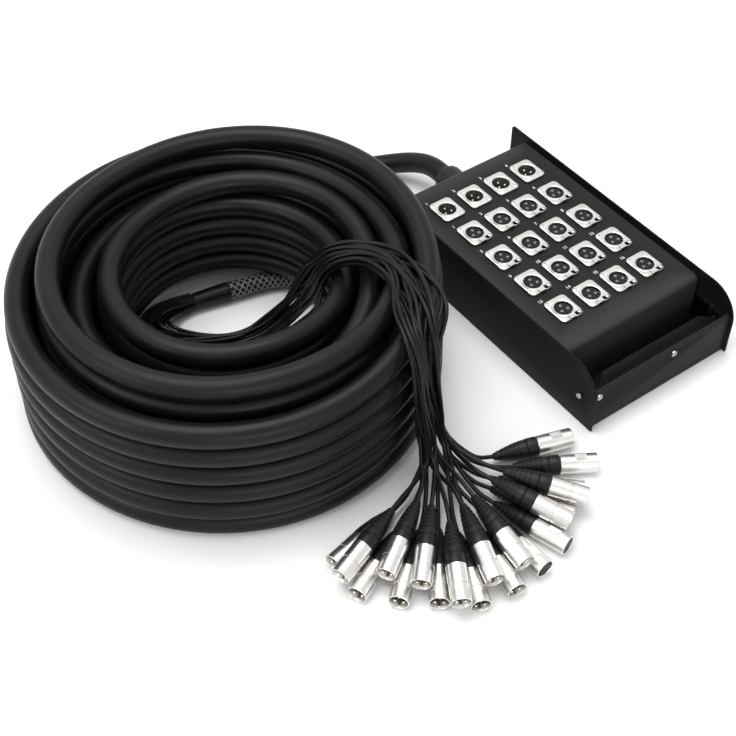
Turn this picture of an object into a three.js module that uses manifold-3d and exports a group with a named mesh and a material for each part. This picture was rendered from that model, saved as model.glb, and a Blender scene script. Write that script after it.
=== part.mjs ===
// A stage box snake: a low steel box with twenty panel connectors, a heavy multicore cable wound
// into a tall coil, and a fan-out of thin tails that hang over the coil and end in cable plugs.
// Millimetres. The origin is the middle of the box's footprint, on the ground.
// +X is to the right along a row of connectors, +Y is towards the cable's end of the box, +Z is up.

import * as THREE from 'three';
import { mergeVertices } from 'three/addons/utils/BufferGeometryUtils.js';
import Module from 'manifold-3d';

const wasm = await Module();
wasm.setup();

// Fits shared by everything.
const seatGap = 0.3;        // between two pieces that touch
const cutOverrun = 1;       // how far a cutter runs past the face it cuts
const joinTolerance = 0.06; // slivers thinner than this go when cords are joined

// The box.
const boxLength = 334;
const boxWidth = 180;
const cheekHeight = 72;
const panelHeight = 64;     // the panel's upper face
const sheet = 2;            // steel sheet of every box piece
const noseRadius = 34;      // the cheeks' rounded front corner
const cheekCornerRadius = 4;
const backOverhang = 20.7;  // the cheeks run past the panel at the back
const frontOverhang = 50.5; // and at the front, where the hand reaches in
const panelFrontBend = 7;
const panelBackBend = 4;
const frontPlateSetback = 4.2;
const gripHeight = 46.5;
const gripDepth = 19.5;
const gripLip = 6;
const gripBend = 3;
const gripBackInset = 30;   // from the box's side to the end of the grip's back edge
const gripFrontInset = 12;  // and to the end of its front edge, so its two ends slope
const sideFlangeHeight = 13; // inside the lid, between its front and back walls
const frontTabLength = 24;

// The connectors on the panel: rows run along X, the return row is the one nearest the cable.
const columns = 4;
const sendRows = 4;
const columnPitch = 35.5;
const rowPitch = 44.5;
const gridShiftX = 2.3;     // the sockets stand a little right of the middle
const returnRowY = 103.7;
const plateWidth = 26;
const plateLength = 31;
const plateThickness = 2.4;
const plateCornerRadius = 4.5;
const barrelRadius = 11.8;
const barrelDepth = 20;
const barrelClearance = 0.4;
const barrelSides = 10;
const shellBore = 9.6;      // radius of the opening that a plug's shell enters
const sendInsertRadius = 7.7;
const sendSlotDepth = 13;
const sendInsertRecess = 0.5;
const returnCupDepth = 15;
const contactCircle = 4.3;  // radius on which the three contacts stand
const contactRadius = 1.2;
const contactHoleSides = 4;
const pinLength = 12.5;
const contactHoleDepth = 7;
const latchWidth = 6.8;
const latchLength = 5;
const latchStandProud = 0.9;
const latchTravel = 1.1;
const latchLip = 1.2;

// Screws.
const screwHeadRadius = 3.4;
const screwHeadHeight = 1.9;
const screwShankRadius = 1.9;
const screwShankLength = 7;
const frontScrewHeight = 40.5;
const frontScrewInset = 8;      // from the box's side to the left front screw
const middleScrewX = 13;
const sideScrewHeight = 33.5;
const sideScrewSetback = 20.4;  // behind the cheek's front edge

// The cable gland on the back wall.
const glandX = 4;
const glandHeight = 36;
const glandFlats = 34;
const glandFlangeThickness = 7;
const glandThreadRadius = 12;
const glandThreadLength = 9;
const glandNeckRadius = 13.4;
const glandNeckLength = 11;
const glandNutRadius = 16.4;
const glandNutLength = 23;
const glandNutMouthRadius = 12.4;
const glandNutDome = 9;

// The multicore cable and its coil. Turns lie in columns, one inside the other, and each column
// climbs or sinks by one row a turn. The coil runs from its outer foot to its inner foot.
const cableDiameter = 22.2;
const coilCentreX = -317;
const coilCentreY = 96.4;
const coilRowPitch = 23.5;
const coilColumnPitch = 27;
const coilOuterRadius = 192.5;
const coilClimbs = [6, 6, 5, 5]; // the rows that each column climbs or sinks, outermost first
const coilStepsPerTurn = 18;
const coilSides = 6;
const coilStartDegrees = 88;
const climbStartDegrees = 248;
const climbEndDegrees = 368;
const reverseDegrees = 100; // the arc in which the cable moves to the next column
const driftDegrees = 54;    // the loops lie off centre along this direction
const columnDrift = 3;      // how far each column's centre lies from the one outside it
const rowDrifts = [5, 0, 0, 0, 0, -4, -8];  // how far each row lies off centre, lowest first
const rowSpreads = [2, 0, 0, 0, 0, -4, -8]; // how much larger each row's radius is
const coilOval = 2.5;       // how much longer the loops are along that direction

// The lead's route from the gland to the coil's foot: x, y and height of chosen points.
const cordSides = 10;
const leadSteps = 14;
const leadRoute = [
  [3.5, 201, 34.4], [1, 212, 31.4], [-3, 223, 27.6], [-11, 236, 22.4], [-25, 251, 16.2],
  [-44, 264, 12.4], [-68, 275, 11.5], [-98, 284, 11.3], [-132, 290, 11.3], [-168, 294, 11.3],
  [-204, 296, 11.3], [-240, 298, 11.3],
];

// The braided sleeve over the multicore's end, and the bundle of tails beyond it, which runs
// round the coil's inside, climbs its inner wall, hangs over it and comes down to the ground.
const sleeveRadius = 10;
const sleeveSteps = 6;
const sleeveRoute = [
  [-206, 159, 11.6], [-221, 169.5, 11.8], [-241, 176, 12], [-263, 181, 12], [-285, 186, 12],
  [-307, 190, 12],
];
const bundleRadius = 8.4;
const bundleSides = 8;
const bundleSteps = 26;
const bundleRoute = [
  [-329, 191, 15], [-348, 183, 23], [-364, 171, 31], [-372, 155, 33], [-366, 140, 28],
  [-350, 124, 21], [-330, 110, 16], [-307, 98, 15], [-284, 92, 19], [-264, 90, 30],
  [-248, 86, 46], [-240, 80, 66], [-237, 72, 88], [-237, 64, 110], [-234, 57, 130],
  [-225, 46, 144], [-212, 33, 152], [-202, 16, 157], [-196, -7, 161.5], [-196, -32, 164],
  [-201, -56, 164], [-211, -78, 160], [-222, -92, 145], [-229, -98, 124], [-231, -101, 98],
  [-233, -104, 72], [-235, -108, 48],
];

// The loose tails between the bundle's end and the plugs.
const tailDiameter = 4.2;
const tailSides = 6;
const tailSteps = 5;
const tailPull = 26;        // how long a tail keeps the bundle's heading
const tailStartSink = 4;    // how deep a tail's start lies in the bundle

// The cable plugs at the tails' ends.
const plugRadius = 9.3;
const plugBarrelLength = 43;
const plugBore = 7.9;
const plugCupDepth = 11;
const plugCollarRadius = 7.6;
const plugCollarLength = 4;
const bootLength = 30;
const bootEndRadius = 3.3;
const plugSides = 8;
const plugPinLength = 9;
const returnInsertRadius = 6.4;
const returnSlotDepth = 9;
const returnButtonWidth = 5;
const returnButtonLength = 9;
const returnButtonSetback = 11;
const returnButtonProud = 1.2;
const returnButtonPocket = 3.6;
const returnButtonHeight = 3;

// How the plugs lie on the ground, in a fan round one point. Upper plugs lie in the valleys
// between the lower ones.
const fanCentreX = -240;
const fanCentreY = -125.6;
const upperRearLift = 16.9; // an upper plug's height over a lower one's, at its barrel's rear
const upperNoseLift = 11.3;
// The plugs' lie: degrees round the fan's centre, distance of the nose, and the tier.
const plugLies = [
  { degrees: 192, reach: 138, tier: 0 }, { degrees: 199, reach: 150, tier: 1 },
  { degrees: 205.6, reach: 152, tier: 0 }, { degrees: 212.4, reach: 130, tier: 1 },
  { degrees: 219.2, reach: 146, tier: 0 }, { degrees: 226, reach: 132, tier: 1 },
  { degrees: 232.8, reach: 142, tier: 0 }, { degrees: 239.6, reach: 150, tier: 1 },
  { degrees: 246.4, reach: 148, tier: 0 }, { degrees: 253.2, reach: 134, tier: 1 },
  { degrees: 260, reach: 144, tier: 0 }, { degrees: 266.8, reach: 130, tier: 1 },
  { degrees: 273.6, reach: 139, tier: 0 }, { degrees: 287.2, reach: 138, tier: 0 },
  { degrees: 294, reach: 130, tier: 1 }, { degrees: 300.8, reach: 128, tier: 0 },
  { degrees: 307.6, reach: 136, tier: 1 }, { degrees: 314.4, reach: 132, tier: 0 },
  { degrees: 328, reach: 146, tier: 0 }, { degrees: 341.8, reach: 131, tier: 0 },
];
const returnPlugs = [12, 13, 18, 19];
const plugRestHeight = plugRadius + 0.2 * seatGap;

const colours = {
  powderCoat: { color: 0x1b1b1c, roughness: 0.62, metalness: 0.1 },
  panelCoat: { color: 0x3a3836, roughness: 0.6, metalness: 0.1 },
  nickel: { color: 0xc9c9c6, roughness: 0.28, metalness: 0.9 },
  latchMetal: { color: 0xb5b5b2, roughness: 0.35, metalness: 0.9 },
  screw: { color: 0xa9a9a9, roughness: 0.35, metalness: 0.9 },
  glandPlastic: { color: 0x222222, roughness: 0.5, metalness: 0 },
  cableRubber: { color: 0x2b2a29, roughness: 0.72, metalness: 0 },
  braid: { color: 0x1a1a1a, roughness: 0.8, metalness: 0 },
  tailRubber: { color: 0x242424, roughness: 0.7, metalness: 0 },
};

const part = new THREE.Group();
part.name = 'stage_box_snake';

// Adds one named piece to the part.
function addPiece(name, geometry, colourName, place = new THREE.Vector3(), turn = null) {
  const mesh = new THREE.Mesh(geometry, new THREE.MeshStandardMaterial(colours[colourName]));
  mesh.name = name;
  mesh.position.copy(place);
  if (turn) mesh.quaternion.copy(turn);
  part.add(mesh);
  return mesh;
}

// A closed geometry as a solid that can be joined and cut.
function toSolid(geometry) {
  const bare = geometry.index ? geometry.toNonIndexed() : geometry.clone();
  bare.deleteAttribute('normal');
  bare.deleteAttribute('uv');
  const merged = mergeVertices(bare, seatGap / 1000);
  return new wasm.Manifold(new wasm.Mesh({
    numProp: 3,
    vertProperties: new Float32Array(merged.attributes.position.array),
    triVerts: new Uint32Array(merged.index.array),
  }));
}

function toGeometry(solid) {
  const mesh = solid.getMesh();
  const geometry = new THREE.BufferGeometry();
  geometry.setAttribute('position', new THREE.BufferAttribute(mesh.vertProperties, 3));
  geometry.setIndex(new THREE.BufferAttribute(mesh.triVerts, 1));
  return geometry;
}

// A joined solid without the pockets that got closed in between its members.
function outerShell(solid) {
  const shells = solid.simplify(joinTolerance).decompose().filter((shell) => shell.volume() > 0);
  if (shells.length !== 1) throw new Error(`expected one joined body, found ${shells.length}`);
  return shells[0];
}

// A flat outline pushed along +Z from zero.
function slab(shape, depth, curveSegments = 2) {
  return new THREE.ExtrudeGeometry(shape, { depth, bevelEnabled: false, curveSegments });
}

// An outline drawn in Y (across) and Z (up), pushed along X and centred on the YZ plane.
function acrossBox(shape, width, curveSegments) {
  const geometry = slab(shape, width, curveSegments);
  const toFrame = new THREE.Matrix4().makeBasis(
    new THREE.Vector3(0, 1, 0), new THREE.Vector3(0, 0, 1), new THREE.Vector3(1, 0, 0));
  geometry.applyMatrix4(toFrame);
  geometry.translate(-width / 2, 0, 0);
  return geometry;
}

function cylinder(radius, height, sides, place) {
  const geometry = new THREE.CylinderGeometry(radius, radius, height, sides);
  geometry.rotateX(Math.PI / 2);
  return geometry.translate(place.x, place.y, place.z);
}

function roundedRectangle(width, height, radius) {
  const shape = new THREE.Shape();
  const x = width / 2;
  const y = height / 2;
  shape.moveTo(x, radius - y);
  shape.lineTo(x, y - radius);
  shape.absarc(x - radius, y - radius, radius, 0, Math.PI / 2);
  shape.absarc(radius - x, y - radius, radius, Math.PI / 2, Math.PI);
  shape.absarc(radius - x, radius - y, radius, Math.PI, 1.5 * Math.PI);
  shape.absarc(x - radius, radius - y, radius, 1.5 * Math.PI, 2 * Math.PI);
  return shape;
}

// Where the box's walls stand.
const frontY = -boxLength / 2;
const backY = boxLength / 2;
const panelFrontY = frontY + frontOverhang;
const panelBackY = backY - backOverhang;
const frontPlateY = frontY + frontPlateSetback;
const gripBackY = frontPlateY + gripDepth;
const innerWidth = boxWidth - 2 * sheet - 2 * seatGap;
const frontScrewPlaces = { left: frontScrewInset - boxWidth / 2, middle: middleScrewX };
const wallFoot = sheet + seatGap;
const sideScrewY = frontY + sideScrewSetback;
const screwHole = screwShankRadius + seatGap;
const screwSides = 8;

// The base: floor, front plate and the grip folded back from it, in one bent sheet.
function baseOutline() {
  const inner = gripBend - sheet;
  const shape = new THREE.Shape();
  shape.moveTo(panelBackY, 0);
  shape.lineTo(panelBackY, sheet);
  shape.lineTo(frontPlateY + sheet, sheet);
  shape.lineTo(frontPlateY + sheet, gripHeight - gripBend);
  shape.absarc(frontPlateY + gripBend, gripHeight - gripBend, inner, Math.PI, Math.PI / 2, true);
  shape.lineTo(gripBackY - gripBend, gripHeight - sheet);
  shape.absarc(gripBackY - gripBend, gripHeight - gripBend, inner, Math.PI / 2, 0, true);
  shape.lineTo(gripBackY - sheet, gripHeight - gripLip);
  shape.lineTo(gripBackY, gripHeight - gripLip);
  shape.lineTo(gripBackY, gripHeight - gripBend);
  shape.absarc(gripBackY - gripBend, gripHeight - gripBend, gripBend, 0, Math.PI / 2);
  shape.lineTo(frontPlateY + gripBend, gripHeight);
  shape.absarc(frontPlateY + gripBend, gripHeight - gripBend, gripBend, Math.PI / 2, Math.PI);
  shape.lineTo(frontPlateY, 0);
  shape.closePath();
  return shape;
}

// The wedge that slopes one end of the grip.
function gripEndCutter(side) {
  const frontEdge = frontPlateY + gripBend + sheet;
  const backEdge = gripBackY + cutOverrun;
  const shape = new THREE.Shape();
  shape.moveTo(side * (boxWidth / 2 - gripFrontInset), frontEdge);
  shape.lineTo(side * boxWidth / 2, frontEdge);
  shape.lineTo(side * boxWidth / 2, backEdge);
  shape.lineTo(side * (boxWidth / 2 - gripBackInset), backEdge);
  shape.closePath();
  const depth = gripLip + 2 * cutOverrun;
  return slab(shape, depth).translate(0, 0, gripHeight - gripLip - cutOverrun);
}

function sideFlange(side) {
  const length = panelBackY - panelFrontY - 2 * (sheet + seatGap);
  const flange = new THREE.BoxGeometry(sheet, length, sideFlangeHeight);
  const x = side * (innerWidth - sheet) / 2;
  return flange.translate(x, (panelBackY + panelFrontY) / 2, sideFlangeHeight / 2);
}

function frontTab(side) {
  const height = gripHeight - 2 * sheet;
  const tab = new THREE.BoxGeometry(sheet, frontTabLength, height);
  const x = side * (innerWidth - sheet) / 2;
  return tab.translate(x, frontPlateY + frontTabLength / 2, sheet / 2 + height / 2);
}

// A screw hole along X through both side walls, or along Y through the front plate.
function sideHoleCutter() {
  const hole = new THREE.CylinderGeometry(screwHole, screwHole, boxWidth + cutOverrun, screwSides);
  return hole.rotateZ(Math.PI / 2).translate(0, sideScrewY, sideScrewHeight);
}

function frontHoleCutter(x) {
  const depth = 2 * sheet + 2 * cutOverrun;
  const hole = new THREE.CylinderGeometry(screwHole, screwHole, depth, screwSides);
  return hole.translate(x, frontPlateY, frontScrewHeight);
}

function buildBase() {
  let pan = toSolid(acrossBox(baseOutline(), innerWidth, 2));
  for (const side of [-1, 1]) {
    pan = pan.add(toSolid(sideFlange(side))).add(toSolid(frontTab(side)));
    pan = pan.subtract(toSolid(gripEndCutter(side)));
  }
  pan = pan.subtract(toSolid(sideHoleCutter()));
  for (const x of Object.values(frontScrewPlaces)) pan = pan.subtract(toSolid(frontHoleCutter(x)));
  addPiece('base_pan', toGeometry(pan), 'powderCoat');
}

// The lid: front wall, connector panel and back wall, in one bent sheet.
function lidOutline() {
  const shape = new THREE.Shape();
  const innerFront = panelFrontBend - sheet;
  const innerBack = panelBackBend - sheet;
  const bendFrontY = panelFrontY + panelFrontBend;
  const bendBackY = panelBackY - panelBackBend;
  shape.moveTo(panelFrontY, wallFoot);
  shape.lineTo(panelFrontY + sheet, wallFoot);
  shape.lineTo(panelFrontY + sheet, panelHeight - panelFrontBend);
  shape.absarc(bendFrontY, panelHeight - panelFrontBend, innerFront, Math.PI, Math.PI / 2, true);
  shape.lineTo(bendBackY, panelHeight - sheet);
  shape.absarc(bendBackY, panelHeight - panelBackBend, innerBack, Math.PI / 2, 0, true);
  shape.lineTo(panelBackY - sheet, wallFoot);
  shape.lineTo(panelBackY, wallFoot);
  shape.lineTo(panelBackY, panelHeight - panelBackBend);
  shape.absarc(bendBackY, panelHeight - panelBackBend, panelBackBend, 0, Math.PI / 2);
  shape.lineTo(bendFrontY, panelHeight);
  shape.absarc(bendFrontY, panelHeight - panelFrontBend, panelFrontBend, Math.PI / 2, Math.PI);
  shape.closePath();
  return shape;
}


function socketPlace(column, row) {
  const x = gridShiftX + (column - (columns - 1) / 2) * columnPitch;
  return new THREE.Vector3(x, returnRowY - row * rowPitch, panelHeight + seatGap);
}

function buildLid() {
  let lid = toSolid(acrossBox(lidOutline(), innerWidth, 3));
  const holeDepth = sheet + 2 * cutOverrun;
  for (let row = 0; row <= sendRows; row += 1) {
    for (let column = 0; column < columns; column += 1) {
      const place = socketPlace(column, row);
      place.z = panelHeight - sheet / 2;
      const hole = cylinder(barrelRadius + barrelClearance, holeDepth, barrelSides, place);
      lid = lid.subtract(toSolid(hole));
    }
  }
  const threadHole = new THREE.CylinderGeometry(
    glandThreadRadius + seatGap, glandThreadRadius + seatGap, holeDepth, barrelSides);
  threadHole.translate(glandX, panelBackY - sheet / 2, glandHeight);
  lid = lid.subtract(toSolid(threadHole));
  addPiece('top_panel', toGeometry(lid), 'panelCoat');
}

// The cheeks: flat side plates whose front top corner is a wide arc.
function cheekOutline() {
  const shape = new THREE.Shape();
  shape.moveTo(backY, 0);
  shape.lineTo(backY, cheekHeight - cheekCornerRadius);
  shape.absarc(backY - cheekCornerRadius, cheekHeight - cheekCornerRadius,
    cheekCornerRadius, 0, Math.PI / 2);
  shape.absarc(frontY + noseRadius, cheekHeight - noseRadius, noseRadius, Math.PI / 2, Math.PI);
  shape.lineTo(frontY, 0);
  shape.closePath();
  return shape;
}

function buildCheeks() {
  const hole = toSolid(sideHoleCutter());
  const cheek = toSolid(acrossBox(cheekOutline(), sheet, 9));
  for (const [name, side] of [['left_cheek', -1], ['right_cheek', 1]]) {
    const placed = cheek.translate([side * (boxWidth - sheet) / 2, 0, 0]);
    addPiece(name, toGeometry(placed.subtract(hole)), 'powderCoat');
  }
}

// A pan-head screw, head outwards along +Z, its head's seat at zero.
function screwGeometry() {
  const bevel = screwHeadHeight / 3;
  const profile = [
    new THREE.Vector2(0, -screwShankLength),
    new THREE.Vector2(screwShankRadius, -screwShankLength),
    new THREE.Vector2(screwShankRadius, 0),
    new THREE.Vector2(screwHeadRadius, 0),
    new THREE.Vector2(screwHeadRadius, screwHeadHeight - bevel),
    new THREE.Vector2(screwHeadRadius - bevel, screwHeadHeight),
    new THREE.Vector2(0, screwHeadHeight),
  ];
  return new THREE.LatheGeometry(profile, screwSides).rotateX(Math.PI / 2);
}

function buildScrews() {
  const up = new THREE.Vector3(0, 0, 1);
  const forward = new THREE.Quaternion().setFromUnitVectors(up, new THREE.Vector3(0, -1, 0));
  for (const [name, x] of Object.entries(frontScrewPlaces)) {
    const place = new THREE.Vector3(x, frontPlateY - seatGap, frontScrewHeight);
    addPiece(`front_screw_${name}`, screwGeometry(), 'screw', place, forward);
  }
  for (const [name, side] of [['left', -1], ['right', 1]]) {
    const outward = new THREE.Quaternion().setFromUnitVectors(up, new THREE.Vector3(side, 0, 0));
    const x = side * (boxWidth / 2 + seatGap);
    const place = new THREE.Vector3(x, sideScrewY, sideScrewHeight);
    addPiece(`side_screw_${name}`, screwGeometry(), 'screw', place, outward);
  }
}

// The three contacts' places, on a circle, the single one towards the plate's back edge.
function contactPlaces(radius) {
  const turns = [1 / 4, 7 / 12, 11 / 12];
  return turns.map((turn) => new THREE.Vector2(
    radius * Math.cos(2 * Math.PI * turn), radius * Math.sin(2 * Math.PI * turn)));
}

// A connector's plate and barrel. The plate's underside is at zero.
function socketBlank() {
  const plate = slab(roundedRectangle(plateWidth, plateLength, plateCornerRadius), plateThickness);
  const middle = new THREE.Vector3(0, 0, (plateThickness - barrelDepth) / 2);
  const barrel = cylinder(barrelRadius, barrelDepth + plateThickness, barrelSides, middle);
  return toSolid(plate).add(toSolid(barrel));
}

// The notch in a send socket's front edge, in which its latch travels.
function latchNotch() {
  const width = latchWidth + 2 * seatGap;
  const length = latchLength + seatGap + cutOverrun;
  const height = plateThickness + 2 * cutOverrun;
  const y = -plateLength / 2 + latchLength + seatGap - length / 2;
  return new THREE.BoxGeometry(width, length, height).translate(0, y, plateThickness / 2);
}

function sendSocketGeometry() {
  const profile = [
    new THREE.Vector2(sendInsertRadius, plateThickness - sendSlotDepth),
    new THREE.Vector2(shellBore, plateThickness - sendSlotDepth),
    new THREE.Vector2(shellBore, plateThickness + cutOverrun),
    new THREE.Vector2(0, plateThickness + cutOverrun),
    new THREE.Vector2(0, plateThickness - sendInsertRecess),
    new THREE.Vector2(sendInsertRadius, plateThickness - sendInsertRecess),
    new THREE.Vector2(sendInsertRadius, plateThickness - sendSlotDepth),
  ];
  const slot = new THREE.LatheGeometry(profile, barrelSides).rotateX(Math.PI / 2);
  let solid = socketBlank().subtract(toSolid(slot)).subtract(toSolid(latchNotch()));
  for (const place of contactPlaces(contactCircle)) {
    const depth = contactHoleDepth + cutOverrun;
    const z = plateThickness - sendInsertRecess + cutOverrun - depth / 2;
    const hole = cylinder(contactRadius, depth, contactHoleSides, new THREE.Vector3(place.x, place.y, z));
    solid = solid.subtract(toSolid(hole));
  }
  return toGeometry(solid);
}

function returnSocketGeometry() {
  const cupDepth = returnCupDepth + cutOverrun;
  const cupMiddle = new THREE.Vector3(0, 0, plateThickness + cutOverrun - cupDepth / 2);
  let solid = socketBlank().subtract(toSolid(cylinder(shellBore, cupDepth, barrelSides, cupMiddle)));
  const floor = plateThickness - returnCupDepth;
  for (const place of contactPlaces(contactCircle)) {
    const z = floor - cutOverrun + (pinLength + cutOverrun) / 2;
    const pin = cylinder(contactRadius, pinLength + cutOverrun, 6, new THREE.Vector3(place.x, place.y, z));
    solid = solid.add(toSolid(pin));
  }
  return toGeometry(solid);
}

// A latch tab: a wedge with a raised lip, in side view (Y across, Z up), above its travel.
function latchGeometry() {
  const low = latchTravel + seatGap;
  const high = plateThickness + latchStandProud;
  const shape = new THREE.Shape();
  shape.moveTo(0, low);
  shape.lineTo(latchLength, low);
  shape.lineTo(latchLength, high - latchStandProud / 2);
  shape.lineTo(2 * latchLip, high - latchStandProud / 2);
  shape.lineTo(latchLip, high);
  shape.lineTo(0, high);
  shape.closePath();
  return acrossBox(shape, latchWidth, 1).translate(0, -plateLength / 2, 0);
}

function buildSockets() {
  const sendGeometry = sendSocketGeometry();
  const returnGeometry = returnSocketGeometry();
  const latch = latchGeometry();
  for (let column = 0; column < columns; column += 1) {
    addPiece(`return_socket_${column + 1}`, returnGeometry, 'nickel', socketPlace(column, 0));
  }
  for (let row = 1; row <= sendRows; row += 1) {
    for (let column = 0; column < columns; column += 1) {
      const number = (row - 1) * columns + column + 1;
      addPiece(`send_socket_${number}`, sendGeometry, 'nickel', socketPlace(column, row));
      addPiece(`send_latch_${number}`, latch, 'latchMetal', socketPlace(column, row));
    }
  }
}

// The gland: hexagon and neck outside the wall, thread through it.
function buildGland() {
  const flatsRadius = glandFlats / Math.sqrt(3);
  const outward = new THREE.Quaternion().setFromUnitVectors(
    new THREE.Vector3(0, 0, 1), new THREE.Vector3(0, 1, 0));
  const seat = new THREE.Vector3(glandX, panelBackY + seatGap, glandHeight);
  const hexagon = cylinder(flatsRadius, glandFlangeThickness, 6,
    new THREE.Vector3(0, 0, glandFlangeThickness / 2));
  const neckHeight = glandFlangeThickness + glandNeckLength;
  const neck = cylinder(glandNeckRadius, neckHeight, barrelSides, new THREE.Vector3(0, 0, neckHeight / 2));
  const thread = cylinder(glandThreadRadius, glandThreadLength + sheet, barrelSides,
    new THREE.Vector3(0, 0, (sheet - glandThreadLength) / 2));
  const body = toSolid(hexagon).add(toSolid(neck)).add(toSolid(thread));
  addPiece('cable_gland', toGeometry(body), 'glandPlastic', seat, outward);

  const bore = glandNeckRadius + seatGap;
  const boreDepth = glandNeckLength;
  const nutSeat = seat.clone();
  nutSeat.y += glandFlangeThickness + seatGap;
  const profile = [
    new THREE.Vector2(0, boreDepth),
    new THREE.Vector2(bore, boreDepth),
    new THREE.Vector2(bore, 0),
    new THREE.Vector2(glandNutRadius, 0),
    new THREE.Vector2(glandNutRadius, glandNutLength - glandNutDome),
    new THREE.Vector2((glandNutRadius + glandNutMouthRadius) / 2 + seatGap, glandNutLength - glandNutDome / 3),
    new THREE.Vector2(glandNutMouthRadius, glandNutLength),
    new THREE.Vector2(0, glandNutLength),
  ];
  const nut = new THREE.LatheGeometry(profile, barrelSides).rotateX(Math.PI / 2);
  addPiece('gland_nut', nut, 'glandPlastic', nutSeat, outward);
  return nutSeat.y + glandNutLength;
}

const toRadians = Math.PI / 180;

// Rises from 0 to 1 between two values, level at both.
function ease(value, low, high) {
  const share = Math.min(Math.max((value - low) / (high - low), 0), 1);
  return share * share * (3 - 2 * share);
}

// The row and column at one angle of the coil, both as plain numbers that may lie between seats.
// Every turn climbs or sinks one row in the same zone, and a new column starts on a level row.
function coilSeatAt(degrees) {
  const turns = coilTurns();
  const turn = Math.min(Math.max(Math.floor((degrees - climbStartDegrees) / 360), 0), turns - 1);
  const base = turn * 360;
  const climbed = turn + ease(degrees, base + climbStartDegrees, base + climbEndDegrees);
  let row = 0;
  let column = 0;
  let start = 0;
  coilClimbs.forEach((climbs, index) => {
    const done = Math.min(Math.max(climbed - start, 0), climbs);
    row += index % 2 === 0 ? done : -done;
    start += climbs;
    const change = (start - 1) * 360 + climbEndDegrees;
    if (index < coilClimbs.length - 1) column += ease(degrees, change, change + reverseDegrees);
  });
  return [column, row];
}

function coilTurns() {
  return coilClimbs.reduce((sum, climbs) => sum + climbs, 0);
}

// The value of a list between two of its places.
function betweenRows(list, row) {
  const low = Math.min(Math.floor(row), list.length - 2);
  return list[low] + (list[low + 1] - list[low]) * (row - low);
}

function coilPoint(degrees) {
  const [column, row] = coilSeatAt(degrees);
  const drift = column * columnDrift + betweenRows(rowDrifts, row);
  const oval = coilOval * Math.cos(2 * (degrees - driftDegrees) * toRadians);
  const radius = coilOuterRadius - column * coilColumnPitch + betweenRows(rowSpreads, row) + oval;
  return new THREE.Vector3(
    coilCentreX + drift * Math.cos(driftDegrees * toRadians) + radius * Math.cos(degrees * toRadians),
    coilCentreY + drift * Math.sin(driftDegrees * toRadians) + radius * Math.sin(degrees * toRadians),
    cableDiameter / 2 + row * coilRowPitch);
}

// The coil's path: its turns, with a straight stretch of half a diameter at both ends.
function coilPath() {
  const turned = (coilTurns() - 1) * 360 + climbEndDegrees - coilStartDegrees;
  const steps = Math.round(turned * coilStepsPerTurn / 360);
  const points = [];
  for (let step = 0; step <= steps; step += 1) {
    points.push(coilPoint(coilStartDegrees + turned * step / steps));
  }
  const first = coilStartDegrees * toRadians;
  const last = (coilStartDegrees + turned) * toRadians;
  const start = points[0].clone();
  start.x += cableDiameter / 2 * Math.sin(first);
  start.y -= cableDiameter / 2 * Math.cos(first);
  const end = points[points.length - 1].clone();
  end.x -= cableDiameter / 2 * Math.sin(last);
  end.y += cableDiameter / 2 * Math.cos(last);
  return [start, ...points, end];
}

// The least gap between turns, from each point to every stretch that isn't near it on the path.
function leastGap(points, diameter, skip) {
  let least = Infinity;
  const line = new THREE.Line3();
  const nearest = new THREE.Vector3();
  for (let i = 0; i < points.length; i += 1) {
    for (let j = i + skip; j < points.length - 1; j += 1) {
      line.set(points[j], points[j + 1]);
      line.closestPointToPoint(points[i], true, nearest);
      least = Math.min(least, nearest.distanceTo(points[i]) - diameter);
    }
  }
  return least;
}

// One unbroken tube through a row of points, with flat ends, as a closed geometry.
function windTube(points, radius, sides) {
  const vertices = [];
  const faces = [];
  const tangent = new THREE.Vector3();
  const side = new THREE.Vector3();
  const up = new THREE.Vector3();
  points.forEach((point, index) => {
    const before = points[Math.max(index - 1, 0)];
    const after = points[Math.min(index + 1, points.length - 1)];
    tangent.subVectors(after, before).normalize();
    side.set(tangent.y, -tangent.x, 0).normalize();
    up.crossVectors(side, tangent).normalize();
    for (let k = 0; k < sides; k += 1) {
      const turn = 2 * Math.PI * k / sides;
      const vertex = point.clone();
      vertex.addScaledVector(side, radius * Math.cos(turn));
      vertex.addScaledVector(up, radius * Math.sin(turn));
      vertices.push(vertex.x, vertex.y, vertex.z);
    }
  });
  for (let ring = 0; ring < points.length - 1; ring += 1) {
    for (let k = 0; k < sides; k += 1) {
      const a = ring * sides + k;
      const b = ring * sides + (k + 1) % sides;
      faces.push(a, b + sides, b, a, a + sides, b + sides);
    }
  }
  const last = (points.length - 1) * sides;
  for (let k = 1; k < sides - 1; k += 1) {
    faces.push(0, k, k + 1);
    faces.push(last, last + k + 1, last + k);
  }
  const geometry = new THREE.BufferGeometry();
  geometry.setAttribute('position', new THREE.Float32BufferAttribute(vertices, 3));
  geometry.setIndex(faces);
  return geometry;
}

// A cord that isn't wound: a many-sided section pushed along a curve through chosen points.
function cordGeometry(points, radius, sides, steps) {
  const section = new THREE.Shape();
  for (let k = 0; k < sides; k += 1) {
    const turn = 2 * Math.PI * k / sides;
    const x = radius * Math.cos(turn);
    const y = radius * Math.sin(turn);
    if (k === 0) section.moveTo(x, y);
    else section.lineTo(x, y);
  }
  section.closePath();
  const extrudePath = new THREE.CatmullRomCurve3(points, false, 'centripetal');
  return new THREE.ExtrudeGeometry(section, { steps, extrudePath });
}

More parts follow.
